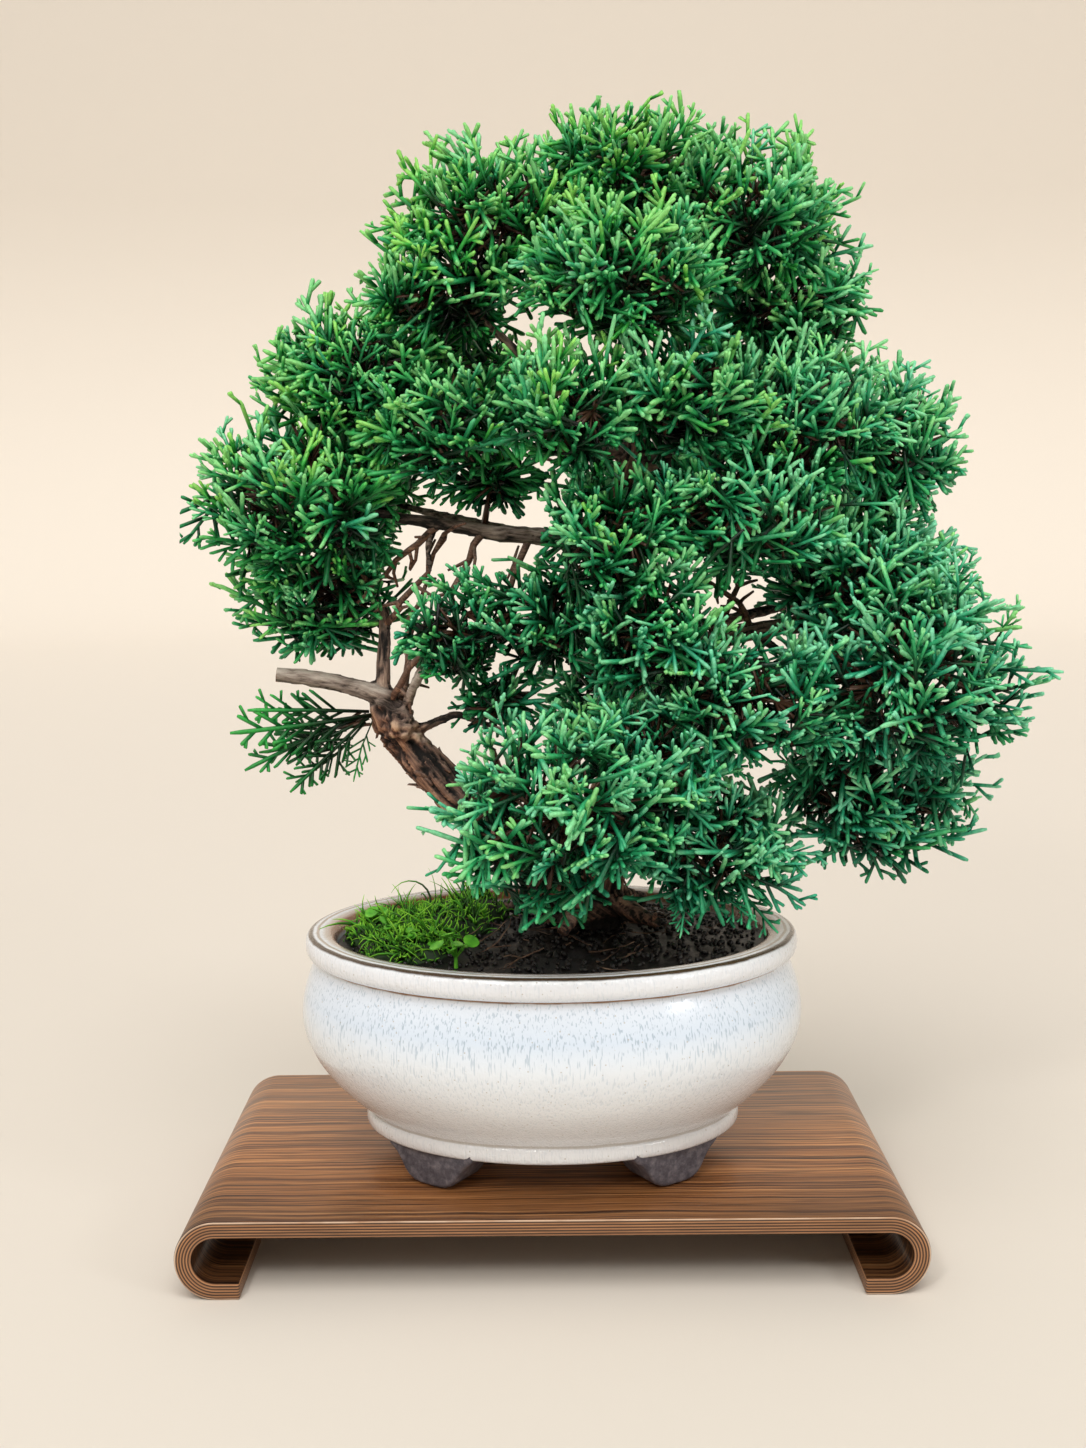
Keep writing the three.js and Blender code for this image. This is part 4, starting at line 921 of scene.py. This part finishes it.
# Bare twigs between the pads, in the same frame, each from the limb that carries it.
TWIG_LINES = [
    [(-33, -8, 227), (-40, -9, 221), (-47, -8, 216), (-54, -8, 209)],
    [(-51, -4, 196), (-46, -7, 203), (-37, -8, 212), (-32, -8, 224)],
    [(-20, -8, 224), (-24, -9, 216), (-30, -10, 206), (-28, -12, 195)],
    [(-5, -6, 223), (-10, -9, 212), (-14, -12, 204), (-15, -14, 192)],
    [(-55, -1, 204), (-58, -7, 214), (-66, -8, 222)],
    [(-49, -10, 173), (-43, -13, 183), (-34, -14, 190), (-24, -14, 194)],
    [(-47, -8, 170), (-44, -4, 184), (-44, -4, 197), (-38, -6, 208)],
    [(3, -8, 269), (-6, -10, 262), (-13, -11, 252), (-16, -12, 243)],
    [(14, -2, 265), (8, -8, 256), (4, -10, 245)],
    [(48, -4, 189), (56, -6, 198), (60, -6, 207), (58, -4, 216)],
    [(64, -8, 193), (60, -10, 202), (50, -10, 209)],
]
WOOD_VOXEL = 0.95 * MM
STRIP_WIDTH = 2.4 * MM
STRIP_STRETCH = 0.16
KNOT = stand_centre + Vector((-45, -11, 163)) * MM
KNOT_REACH = 17 * MM
FLAKES = 110


def any_lean(draw):
    return Vector([draw.gauss(0, 1) for _ in range(3)]).normalized()


line_points = []
for limb_number, (grey, line) in enumerate(LIMB_LINES.values()):
    run_along = 0.0
    for start, end in zip(line, line[1:]):
        start, end = stand_centre + Vector(start) * MM, stand_centre + Vector(end) * MM
        heading = (end - start).normalized()
        steps = max(2, round((end - start).length / (1.5 * MM)))
        for step in range(steps):
            place = start.lerp(end, step / steps)
            line_points.append((place, heading, run_along + (place - start).length, limb_number, grey))
        run_along += (end - start).length
limb_tree = KDTree(len(line_points))
for index, entry in enumerate(line_points):
    limb_tree.insert(entry[0], index)
limb_tree.balance()


def bark_place(spot):
    """Where a point lies on its limb, across it and along it, and how grey the limb is."""
    _, index, _ = limb_tree.find(spot)
    place, heading, run_along, limb_number, grey = line_points[index]
    offset = spot - place
    along = offset.dot(heading)
    sideways = Vector((0, 1, 0)) - heading * heading.y
    sideways.normalize()
    other = heading.cross(sideways)
    far = run_along + along + limb_number * 0.3
    return Vector((offset.dot(sideways), offset.dot(other), far * STRIP_STRETCH)), grey


wood_shape = bmesh.new()
wood_shape.from_mesh(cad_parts["trunk"].data)
bmesh.ops.remove_doubles(wood_shape, verts=wood_shape.verts, dist=0.02 * MM)
wood = add_piece("juniper_wood", wood_shape)
rounding = wood.modifiers.new("rounding", "REMESH")
rounding.mode = "VOXEL"
rounding.voxel_size = WOOD_VOXEL
keep_result(wood, rounding)
wood_shape = bmesh.new()
wood_shape.from_mesh(wood.data)
bpy.data.objects.remove(wood)
for _ in range(3):
    bmesh.ops.smooth_vert(
        wood_shape, verts=wood_shape.verts, factor=0.5, use_axis_x=True, use_axis_y=True, use_axis_z=True
    )
wood_shape.normal_update()
strip_place = wood_shape.verts.layers.float_vector.new("strip_place")
greyness = wood_shape.verts.layers.float.new("greyness")
relief = wood_shape.verts.layers.float.new("relief")
wood_faces = BVHTree.FromBMesh(wood_shape)
moved = []
thick_spots = []
for vert in wood_shape.verts:
    around, grey = bark_place(vert.co)
    thickness = wood_faces.ray_cast(vert.co - vert.normal * 0.1 * MM, -vert.normal)[3] or 2 * MM
    knotted = max(0, 1 - (vert.co - KNOT).length / KNOT_REACH)
    swirl = vert.co / (5.5 * MM) + noise.noise_vector(vert.co / (11 * MM)) * 1.6
    wander = noise.noise(around / STRIP_WIDTH) * (1 - knotted) + noise.noise(swirl) * knotted
    crack = max(0, 1 - abs(wander) * 5.5)
    flakes = noise.noise(around / (2.3 * STRIP_WIDTH) + Vector((7, 3, 1)))
    lumps = noise.noise(vert.co / (8 * MM))
    strength = min(1.0, max(0.1, (thickness - 2 * MM) / (8 * MM))) * (1 - 0.5 * grey)
    depth = (1.1 * flakes + (0.8 + 2.6 * knotted) * lumps - (1.5 + 1.6 * knotted) * crack + 0.4) * strength
    near_soil = min(1.0, max(0.0, (pot_high.z + 10 * MM - vert.co.z) / (12 * MM)))
    vert[strip_place] = around
    vert[greyness] = grey * (1 - knotted)
    # A lower relief colours the bark darker. In the cracks this is partly dark bark and partly painted shade.
    vert[relief] = 0.54 + 0.4 * flakes - 0.6 * crack * (1 - 0.7 * grey) + 0.2 * lumps - 0.3 * near_soil + 0.2 * knotted
    moved.append(vert.co + vert.normal * depth * MM)
    if thickness > 8 * MM and grey < 0.2 and vert.co.z < KNOT.z + 8 * MM:
        thick_spots.append((moved[-1], vert.normal.copy()))
for vert, place in zip(wood_shape.verts, moved):
    vert.co = place

# The dead stub was sawn off square.
STUB_CUT = stand_centre + Vector((-84.9, -9.9, 180.8)) * MM
STUB_RUN = Vector((-14.4, -1, 2)).normalized()
near_cut = {vert for vert in wood_shape.verts if (vert.co - STUB_CUT).length < 9 * MM}
stub_parts = [part for part in wood_shape.edges[:] + wood_shape.faces[:] if near_cut.issuperset(part.verts)]
bmesh.ops.bisect_plane(
    wood_shape, geom=list(near_cut) + stub_parts, dist=1e-7, plane_co=STUB_CUT, plane_no=STUB_RUN, clear_outer=True
)
cut_edges = [edge for edge in wood_shape.edges if edge.is_boundary]
bmesh.ops.holes_fill(wood_shape, edges=cut_edges, sides=0)
for edge in cut_edges:
    edge.smooth = False


def flake_sample(length, width, curl):
    """A curled plate of bark that starts at the origin and peels up as it runs along +X."""
    flake = bmesh.new()
    bmesh.ops.create_grid(flake, x_segments=3, y_segments=2, size=0.5)
    for vert in flake.verts:
        along, across = vert.co.x + 0.5, vert.co.y
        hollow = 0.35 * width * (0.25 - across * across)
        vert.co = Vector((along * length, across * width * (1 - 0.55 * along**2), curl * length * along**2 + hollow))
    bmesh.ops.solidify(flake, geom=flake.faces[:], thickness=0.55 * MM)
    return sample_of(flake)


# Plates of old bark that peel off the leaning branch and the foot of the trunk.
bark_random = random.Random(11)
flake_samples = [flake_sample((2.6 + 0.7 * i) * MM, (1.6 + 0.3 * i) * MM, 0.12 + 0.12 * i) for i in range(5)]
bare_verts = len(wood_shape.verts)
for spot, out in bark_random.sample(thick_spots, FLAKES):
    _, index, _ = limb_tree.find(spot)
    run = line_points[index][1] * bark_random.choice((-1, 1)) + any_lean(bark_random) * 0.5
    run = (run - out * run.dot(out)).normalized()
    turn = Matrix((run, out.cross(run), out)).transposed().to_4x4()
    size = Matrix.Scale(bark_random.uniform(0.7, 1.3), 4)
    add_copy(wood_shape, bark_random.choice(flake_samples), Matrix.Translation(spot - out * 0.3 * MM) @ turn @ size)
twigs = bmesh.new()
for line in TWIG_LINES:
    points = [stand_centre + Vector(point) * MM for point in line]
    bends = [points[0]]
    for start, end in zip(points, points[1:]):
        bends += [start.lerp(end, 0.5) + any_lean(bark_random) * 1.1 * MM, end]
    radii = [1.3 * MM * (1 - 0.5 * step / (len(bends) - 1)) for step in range(len(bends))]
    add_strand(twigs, bends, radii, 6)
    for start, end in zip(bends, bends[1:]):
        heading = ((end - start).normalized() * 0.6 + any_lean(bark_random)).normalized()
        elbow = end + heading * bark_random.uniform(3, 6) * MM
        tip = elbow + (heading + any_lean(bark_random) * 0.5).normalized() * bark_random.uniform(3, 6) * MM
        add_strand(twigs, [end, elbow, tip], [0.7 * MM, 0.6 * MM, 0.4 * MM], 5)
wood_shape.from_mesh(sample_of(twigs))
wood_shape.verts.ensure_lookup_table()
for vert in wood_shape.verts[bare_verts:]:
    vert[strip_place] = bark_place(vert.co)[0]
    vert[greyness] = 0.15
    vert[relief] = 0.55

# Juniper bark: red-brown fibrous strips with dark fissures between them, weathered to silver grey
# on dead wood and on the upper sides of the limbs. The fissures are coloured near black, partly as
# painted shade.
bark, tree, shader = new_material("fibrous_juniper_bark")
strip_coords = add_node(tree, "Attribute", attribute_name="strip_place").outputs["Vector"]
fibres = add_node(tree, "TexNoise", {"Vector": strip_coords, "Scale": 1 / (0.9 * MM), "Detail": 5.0, "Roughness": 0.68})
relief_read = add_node(tree, "Attribute", attribute_name="relief").outputs["Fac"]
fibre_sum = add_node(tree, "Math", {0: fibres.outputs["Fac"], 1: relief_read}, operation="ADD")
fibre_half = add_node(tree, "Math", {0: fibre_sum.outputs[0], 1: 0.5}, operation="MULTIPLY").outputs[0]
brown = add_node(
    tree,
    "ValToRGB",
    {"Fac": fibre_half},
    stops=[(0.35, 0x070302), (0.44, 0x2B140C), (0.52, 0x683D28), (0.6, 0x9C6A4A), (0.72, 0xD0A57F)],
)
silver = add_node(
    tree,
    "ValToRGB",
    {"Fac": fibre_half},
    stops=[(0.34, 0x15100D), (0.42, 0x574A43), (0.52, 0x95867C), (0.68, 0xCFC3B8)],
)
grey_read = add_node(tree, "Attribute", attribute_name="greyness").outputs["Fac"]
normal_z = add_node(
    tree, "SeparateXYZ", {0: add_node(tree, "NewGeometry").outputs["Normal"]}
).outputs["Z"]
facing_up = add_node(tree, "MapRange", {"Value": normal_z, 1: -0.3, 2: 0.9, 3: 0.0, 4: 0.35})
weathered = add_node(tree, "Math", {0: grey_read, 1: facing_up.outputs[0]}, operation="ADD", use_clamp=True)
bark_colour = add_node(
    tree, "Mix", {0: weathered.outputs[0], 6: brown.outputs["Color"], 7: silver.outputs["Color"]}, data_type="RGBA"
)
tree.links.new(bark_colour.outputs[2], shader.inputs["Base Color"])
shader.inputs["Roughness"].default_value = 0.85
fibre_bump = add_node(tree, "Bump", {"Height": fibres.outputs["Fac"], "Strength": 0.7, "Distance": 0.0005})
tree.links.new(fibre_bump.outputs[0], shader.inputs["Normal"])
wood = add_piece("juniper_wood", wood_shape, bark)
shade_smooth(wood)
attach(wood, "root")
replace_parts(wood, "trunk")


# Foliage.
# Kishu juniper's scale leaves are pressed flat along slim green shoots, one and a half millimetres
# thick, that fork again and again in flat sprays. Each pad is grown here from one twig: it divides
# into smaller twigs, and each of these carries a tuft of sprays that reach the face of the pad.
SHOOT_RADIUS = 0.6 * MM
SPRAY_LENGTH = 18 * MM
SPRAY_KINDS = 28
FACE_PER_SPRAY = 56 * MM * MM
TUFTS = 12
FERN_LENGTH = 38 * MM
FERN_KINDS = 4
# Long hanging sprays: start and tip in mm from the floor under the stand's middle, green, lightness.
FERNS = {
    "foliage_hanging_left_sprig": [
        ((-55, -11, 168), (-98, -14, 161), 0.95, 0.66),
        ((-56, -11, 169), (-93, -12, 171), 0.9, 0.66),
        ((-56, -12, 167), (-86, -15, 149), 1.0, 0.62),
        ((-57, -13, 166), (-73, -16, 143.5), 1.0, 0.6),
        ((-55, -12, 166), (-64, -14, 149), 0.95, 0.6),
        ((-57, -10, 168), (-95, -10, 154), 0.9, 0.6),
        ((-57, -14, 167), (-80, -17, 145), 0.95, 0.62),
        ((-58, -7, 167), (-84, 0, 156), 0.7, 0.55),
    ],
    "foliage_low_right": [
        ((50, -34, 126), (68, -38, 103.8), 0.25, 0.8),
        ((47, -36, 122), (58, -44, 106), 0.2, 0.85),
        ((40, -40, 122), (43, -50, 106), 0.2, 0.9),
    ],
}
FERNS_ONLY = ("foliage_hanging_left_sprig",)
SMALL_SPRAYS = {
    "juniper_sprays_over_knot": ((-15, -19, 172), (13, 11, 11)),
    "juniper_sprays_over_left_limb": ((-17, -9, 240), (20, 9, 9)),
}
STALK_RINGS = ((0.0, 0.8), (0.45, 1.0), (0.93, 1.02), (1.0, 0.6))
SIDE_RINGS = ((0.0, 0.88), (0.9, 1.05), (1.0, 0.65))
foliage_random = random.Random(19)


def add_shoot(shape, reached, foot, heading, length, radius, bend, share_from, share_to, sides, rings):
    """One shoot with a rounded tip. The shares say how far out along the spray it starts and ends."""
    points = [foot + heading * length * step + bend * length * step * step for step, _ in rings]
    made = add_strand(shape, points, [radius * girth for _, girth in rings], sides)
    for ring, (step, _) in zip(made, rings):
        for vert in ring:
            vert[reached] = share_from + (share_to - share_from) * step


def any_direction():
    return Vector([foliage_random.gauss(0, 1) for _ in range(3)]).normalized()


def spray_sample(side_shoots, whole, radius, side_reach):
    """A flat spray that points up from the origin: a stalk with side shoots by turns, some forked again."""
    spray = bmesh.new()
    reached = spray.verts.layers.float.new("reached")
    up_axis = Vector((0, 0, 1))
    bend = Vector((foliage_random.uniform(-0.25, 0.25), foliage_random.uniform(-0.2, 0.2), 0))
    add_shoot(spray, reached, Vector((0, 0, 0)), up_axis, whole, radius, bend, 0.1, 1.0, 4, STALK_RINGS)
    first_side = foliage_random.choice((0, 1))
    for index in range(side_shoots):
        share = 0.22 + 0.6 * (index + foliage_random.uniform(-0.2, 0.2)) / max(1, side_shoots - 1)
        foot = up_axis * whole * share + bend * whole * share * share
        side = 1 if (index + first_side) % 2 else -1
        spread = Vector((side, foliage_random.uniform(-0.35, 0.35), 0)).normalized()
        heading = (up_axis + 2 * share * bend + spread * foliage_random.uniform(0.85, 1.5)).normalized()
        length = whole * side_reach * (1 - 0.6 * share) * foliage_random.uniform(0.75, 1.25)
        curve = (up_axis - heading) * foliage_random.uniform(0.1, 0.35)
        root_share = 0.15 + share * 0.4
        end = min(1.0, max(0.78, share + length / whole + 0.1))
        girth = radius * foliage_random.uniform(0.86, 0.98)
        add_shoot(spray, reached, foot, heading, length, girth, curve, root_share, end, 4, SIDE_RINGS)
        if length > 5.5 * MM and foliage_random.random() < 0.8:
            up_share = foliage_random.uniform(0.35, 0.6)
            fork_foot = foot + heading * length * up_share + curve * length * up_share * up_share
            across = heading.cross(Vector((0, 1, 0))).normalized() * foliage_random.choice((-1, 1))
            fork_heading = (heading + across * foliage_random.uniform(0.7, 1.25)).normalized()
            fork_length = length * foliage_random.uniform(0.36, 0.6)
            fork_curve = (heading - fork_heading) * 0.25
            root_share += 0.3 * (end - root_share)
            girth *= 0.98
            add_shoot(spray, reached, fork_foot, fork_heading, fork_length, girth, fork_curve, root_share, end, 3, SIDE_RINGS)
    layer = spray.loops.layers.uv.new("OFBake")
    for face in spray.faces:
        for loop in face.loops:
            loop[layer].uv = (0.0, loop.vert[reached])
    return sample_of(spray)


def twig_sample():
    """A straight bare twig one unit long, with the map of wood at the foot of a spray."""
    twig = bmesh.new()
    bmesh.ops.create_cone(
        twig, cap_ends=True, segments=3, radius1=0.75, radius2=0.6, depth=1, matrix=Matrix.Translation((0, 0, 0.5))
    )
    twig.verts.layers.float.new("reached")
    layer = twig.loops.layers.uv.new("OFBake")
    for face in twig.faces:
        for loop in face.loops:
            loop[layer].uv = (0.0, 0.02 + 0.05 * loop.vert.co.z)
    return sample_of(twig)


spray_samples = [spray_sample(2 + kind % 4, SPRAY_LENGTH, SHOOT_RADIUS, 0.62) for kind in range(SPRAY_KINDS)]
fern_samples = [spray_sample(8 + kind, FERN_LENGTH, SHOOT_RADIUS * 1.1, 0.38) for kind in range(FERN_KINDS)]
twig = twig_sample()

wood_copy = bmesh.new()
wood_copy.from_mesh(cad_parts["trunk"].data)
wood_surface = BVHTree.FromBMesh(wood_copy)
wood_copy.free()

# Scale-leaf foliage: waxy blue-green with a satin bloom, and fresh yellow-green where a shoot still
# grows. Painted shade darkens each shoot towards its foot, so the pads are darker inside. The leaves
# are too small to show singly.
scale_leaf, tree, shader = new_material("waxy_juniper_scale_leaf")
leaf_map = add_node(tree, "UVMap", uv_map="OFBake").outputs["UV"]
split = add_node(tree, "SeparateXYZ", {0: leaf_map})
coords = add_node(tree, "TexCoord").outputs["Object"]
mottle = add_node(tree, "TexNoise", {"Vector": coords, "Scale": 55.0, "Detail": 3.0})
scales = add_node(tree, "TexVoronoi", {"Vector": coords, "Scale": 1 / (1.1 * MM)})
jitter = add_node(tree, "MapRange", {"Value": mottle.outputs["Fac"], 1: 0.3, 2: 0.7, 3: -0.14, 4: 0.14})
outward = add_node(tree, "Math", {0: split.outputs["Y"], 1: jitter.outputs[0]}, operation="ADD")
wooded = add_node(tree, "Math", {0: split.outputs["Y"], 1: 0.09}, operation="GREATER_THAN")
# Painted shade: each shoot is near black at its foot, deep in the pad, and lightens out to its tip.
blue = add_node(
    tree,
    "ValToRGB",
    {"Fac": outward.outputs[0]},
    stops=[(0.1, 0x020A06), (0.34, 0x063826), (0.55, 0x127A56), (0.78, 0x36B488), (1.0, 0x86E6B8)],
)
green = add_node(
    tree,
    "ValToRGB",
    {"Fac": outward.outputs[0]},
    stops=[(0.1, 0x030A03), (0.34, 0x083A14), (0.55, 0x187F34), (0.78, 0x42BC4A), (1.0, 0x9AE86C)],
)
leaf_colour = add_node(
    tree, "Mix", {0: split.outputs["X"], 6: blue.outputs["Color"], 7: green.outputs["Color"]}, data_type="RGBA"
)
scale_shade = add_node(tree, "MapRange", {"Value": scales.outputs["Distance"], 1: 0.0, 2: 0.7, 3: 1.15, 4: 0.8})
shaded = add_node(
    tree, "Mix", {0: 1.0, 6: leaf_colour.outputs[2], 7: scale_shade.outputs[0]}, data_type="RGBA", blend_type="MULTIPLY"
)
with_wood = add_node(
    tree, "Mix", {0: wooded.outputs[0], 6: linear(0x4A3225), 7: shaded.outputs[2]}, data_type="RGBA"
)
tree.links.new(with_wood.outputs[2], shader.inputs["Base Color"])
shader.inputs["Roughness"].default_value = 0.4
shader.inputs["Specular IOR Level"].default_value = 0.36
scale_bump = add_node(
    tree, "Bump", {"Height": scales.outputs["Distance"], "Strength": 0.3, "Distance": 0.0003}, invert=True
)
tree.links.new(scale_bump.outputs[0], shader.inputs["Normal"])


def aimed(start, end, girth):
    """The place and turn of a part that runs from start to end, with its thickness."""
    reach = end - start
    turn = reach.to_track_quat("Z", "Y").to_matrix().to_4x4()
    return Matrix.Translation(start) @ turn @ Matrix.Diagonal((girth, girth, reach.length, 1))


def even_directions(count):
    """Directions spread evenly over a ball, each a little off its place."""
    golden = math.pi * (3 - math.sqrt(5))
    for index in range(count):
        height = 1 - 2 * (index + 0.5) / count
        around = index * golden
        level = math.sqrt(1 - height * height)
        even = Vector((level * math.cos(around), level * math.sin(around), height))
        yield (even + any_direction() * 0.22).normalized()


def faced(heading, outward):
    """The turn of a flat spray that grows along heading and shows its flat side outward."""
    across = outward.cross(heading)
    if across.length < 0.05:
        across = heading.orthogonal()
    across.normalize()
    return Matrix((across, heading.cross(across), heading)).transposed().to_4x4()


BOX_MARGIN = 1.5 * MM
TREE_HEART = stand_centre + Vector((15, 0, 215)) * MM
TREE_HALF = Vector((110, 66, 110)) * MM
foliage_nodes = sorted(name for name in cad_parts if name.startswith("foliage_"))
pad_boxes = {}
for node in foliage_nodes:
    low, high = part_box(node)
    pad_boxes[node] = ((low + high) / 2, (high - low) / 2)


def within(spot, centre, half):
    """How far out a place is in a pad: 0 at its middle, 1 at its face."""
    return Vector([(spot[i] - centre[i]) / half[i] for i in range(3)]).length


def add_spray(pad, tones, sample, foot, heading, outward, size, tone, light):
    """Adds one spray to a pad, and notes how green it is and its lightness, painted light and shade included."""
    roll = Matrix.Rotation(foliage_random.gauss(0, 0.6), 4, "Z")
    place = Matrix.Translation(foot) @ faced(heading, outward) @ roll @ Matrix.Scale(size, 4)
    faces_before = len(pad.faces)
    add_copy(pad, sample, place)
    tones.append((faces_before, len(pad.faces), min(1.0, max(0.0, tone)), light))


def fill_pad(pad, tones, centre, half, stem, others):
    """Fills the space of a pad with tufts of sprays that stand out from its twigs on all sides."""
    heart = centre.lerp(stem, 0.25)
    away = (centre - TREE_HEART).normalized()
    add_copy(pad, twig, aimed(stem, heart, 1.7 * MM))
    middle = (half.x + half.y + half.z) / 3
    tufts = []
    for direction in even_directions(max(4, round(TUFTS * (middle / (26 * MM)) ** 2))):
        out = foliage_random.uniform(0.28, 0.42)
        tufts.append(centre + Vector([direction[i] * half[i] * out for i in range(3)]))
        add_copy(pad, twig, aimed(heart, tufts[-1], 0.9 * MM))
    count = round(4 * math.pi * middle * middle / FACE_PER_SPRAY)
    pad_tone = 0.15 + 0.6 * (centre.z - 0.1) / 0.24 - 0.2 * centre.x / 0.1
    for index, direction in enumerate(even_directions(count)):
        face_place = centre + Vector([direction[i] * half[i] for i in range(3)])
        crowding = min(within(face_place, *other) for other in others)
        if crowding < 0.72:
            continue
        reach = foliage_random.uniform(0.92, 1.22) if crowding < 1.2 else foliage_random.uniform(0.78, 1.08)
        if index % 4 == 3:
            reach *= 0.7
        elif index % 9 == 4:
            reach *= 1.15
        tip = centre + (face_place - centre) * reach
        for axis in range(3):
            tip[axis] = min(max(tip[axis], cad_bounds[0][axis] + BOX_MARGIN), cad_bounds[1][axis] - BOX_MARGIN)
        outward = (tip - centre).normalized()
        upward = 0.5 * (1 - max(0, -outward.z))
        drift = Vector((0, 0, upward)) + away * 0.3 + any_direction() * 0.8
        size = foliage_random.uniform(0.8, 1.4) * (0.8 if index % 4 == 3 else 1)
        for lean in (1.0, 0.65, 0.35, 0.0):
            heading = (outward * 0.55 + drift * lean).normalized()
            foot = tip - heading * SPRAY_LENGTH * size
            if within(foot, centre, half) < 0.8:
                break
        tuft = min(tufts, key=lambda place: (place - foot).length)
        add_copy(pad, twig, aimed(tuft, foot + heading * MM, 0.8 * MM))
        # Painted shade and light: inner sprays, sprays near the tree's heart and sprays facing down are coloured
        # darker, and sprays facing up lighter.
        light = foliage_random.uniform(0.82, 1.14) * (0.55 if index % 4 == 3 else 1)
        light *= 1.04 + 0.14 * max(0, outward.z) + 0.5 * min(0, outward.z)
        light *= min(1.1, 0.52 + 0.6 * within(tip, TREE_HEART, TREE_HALF))
        tone = pad_tone + foliage_random.gauss(0, 0.18)
        add_spray(pad, tones, foliage_random.choice(spray_samples), foot, heading, outward, size, tone, light)


def hang_ferns(pad, tones, ferns, stem):
    """Adds long flat sprays that hang from a twig, each from its start to its tip in mm."""
    for start, tip, tone, light in ferns:
        start, tip = stand_centre + Vector(start) * MM, stand_centre + Vector(tip) * MM
        reach = tip - start
        add_copy(pad, twig, aimed(stem, start + reach * 0.06, 1.1 * MM))
        facing = Vector((foliage_random.uniform(-0.25, 0.25), -1, 0.15))
        sample = foliage_random.choice(fern_samples)
        add_spray(pad, tones, sample, start, reach.normalized(), facing, reach.length / FERN_LENGTH, tone, light)


def finish_pad(name, pad, tones):
    """Colours the sprays of a pad, painted light and shade included, keeps them inside the model's box
    and makes the pad a piece.
    """
    layer = pad.loops.layers.uv["OFBake"]
    pad.faces.ensure_lookup_table()
    for first, last, tone, light in tones:
        for index in range(first, last):
            for loop in pad.faces[index].loops:
                reached_share = loop[layer].uv.y
                loop[layer].uv = (tone, 0.1 + (reached_share - 0.1) * light)
    for vert in pad.verts:
        for axis in range(3):
            vert.co[axis] = min(max(vert.co[axis], cad_bounds[0][axis]), cad_bounds[1][axis])
    piece = add_piece(name, pad, scale_leaf)
    shade_smooth(piece)
    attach(piece, "root")
    return piece


for node in foliage_nodes:
    centre, half = pad_boxes[node]
    places = [vert.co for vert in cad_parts[node].data.vertices]
    stem = min(places, key=lambda place: wood_surface.find_nearest(place)[3]).copy()
    pad, tones = bmesh.new(), []
    if node not in FERNS_ONLY:
        fill_pad(pad, tones, centre, half, stem, [pad_boxes[name] for name in foliage_nodes if name != node])
    hang_ferns(pad, tones, FERNS.get(node, []), stem)
    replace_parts(finish_pad("juniper_" + node, pad, tones), node)

# Small loose sprays on the twigs between the pads.
for name, (centre, half) in SMALL_SPRAYS.items():
    centre, half = stand_centre + Vector(centre) * MM, Vector(half) * MM
    stem = wood_surface.find_nearest(centre)[0]
    pad, tones = bmesh.new(), []
    fill_pad(pad, tones, centre, half, stem, list(pad_boxes.values()))
    finish_pad(name, pad, tones)
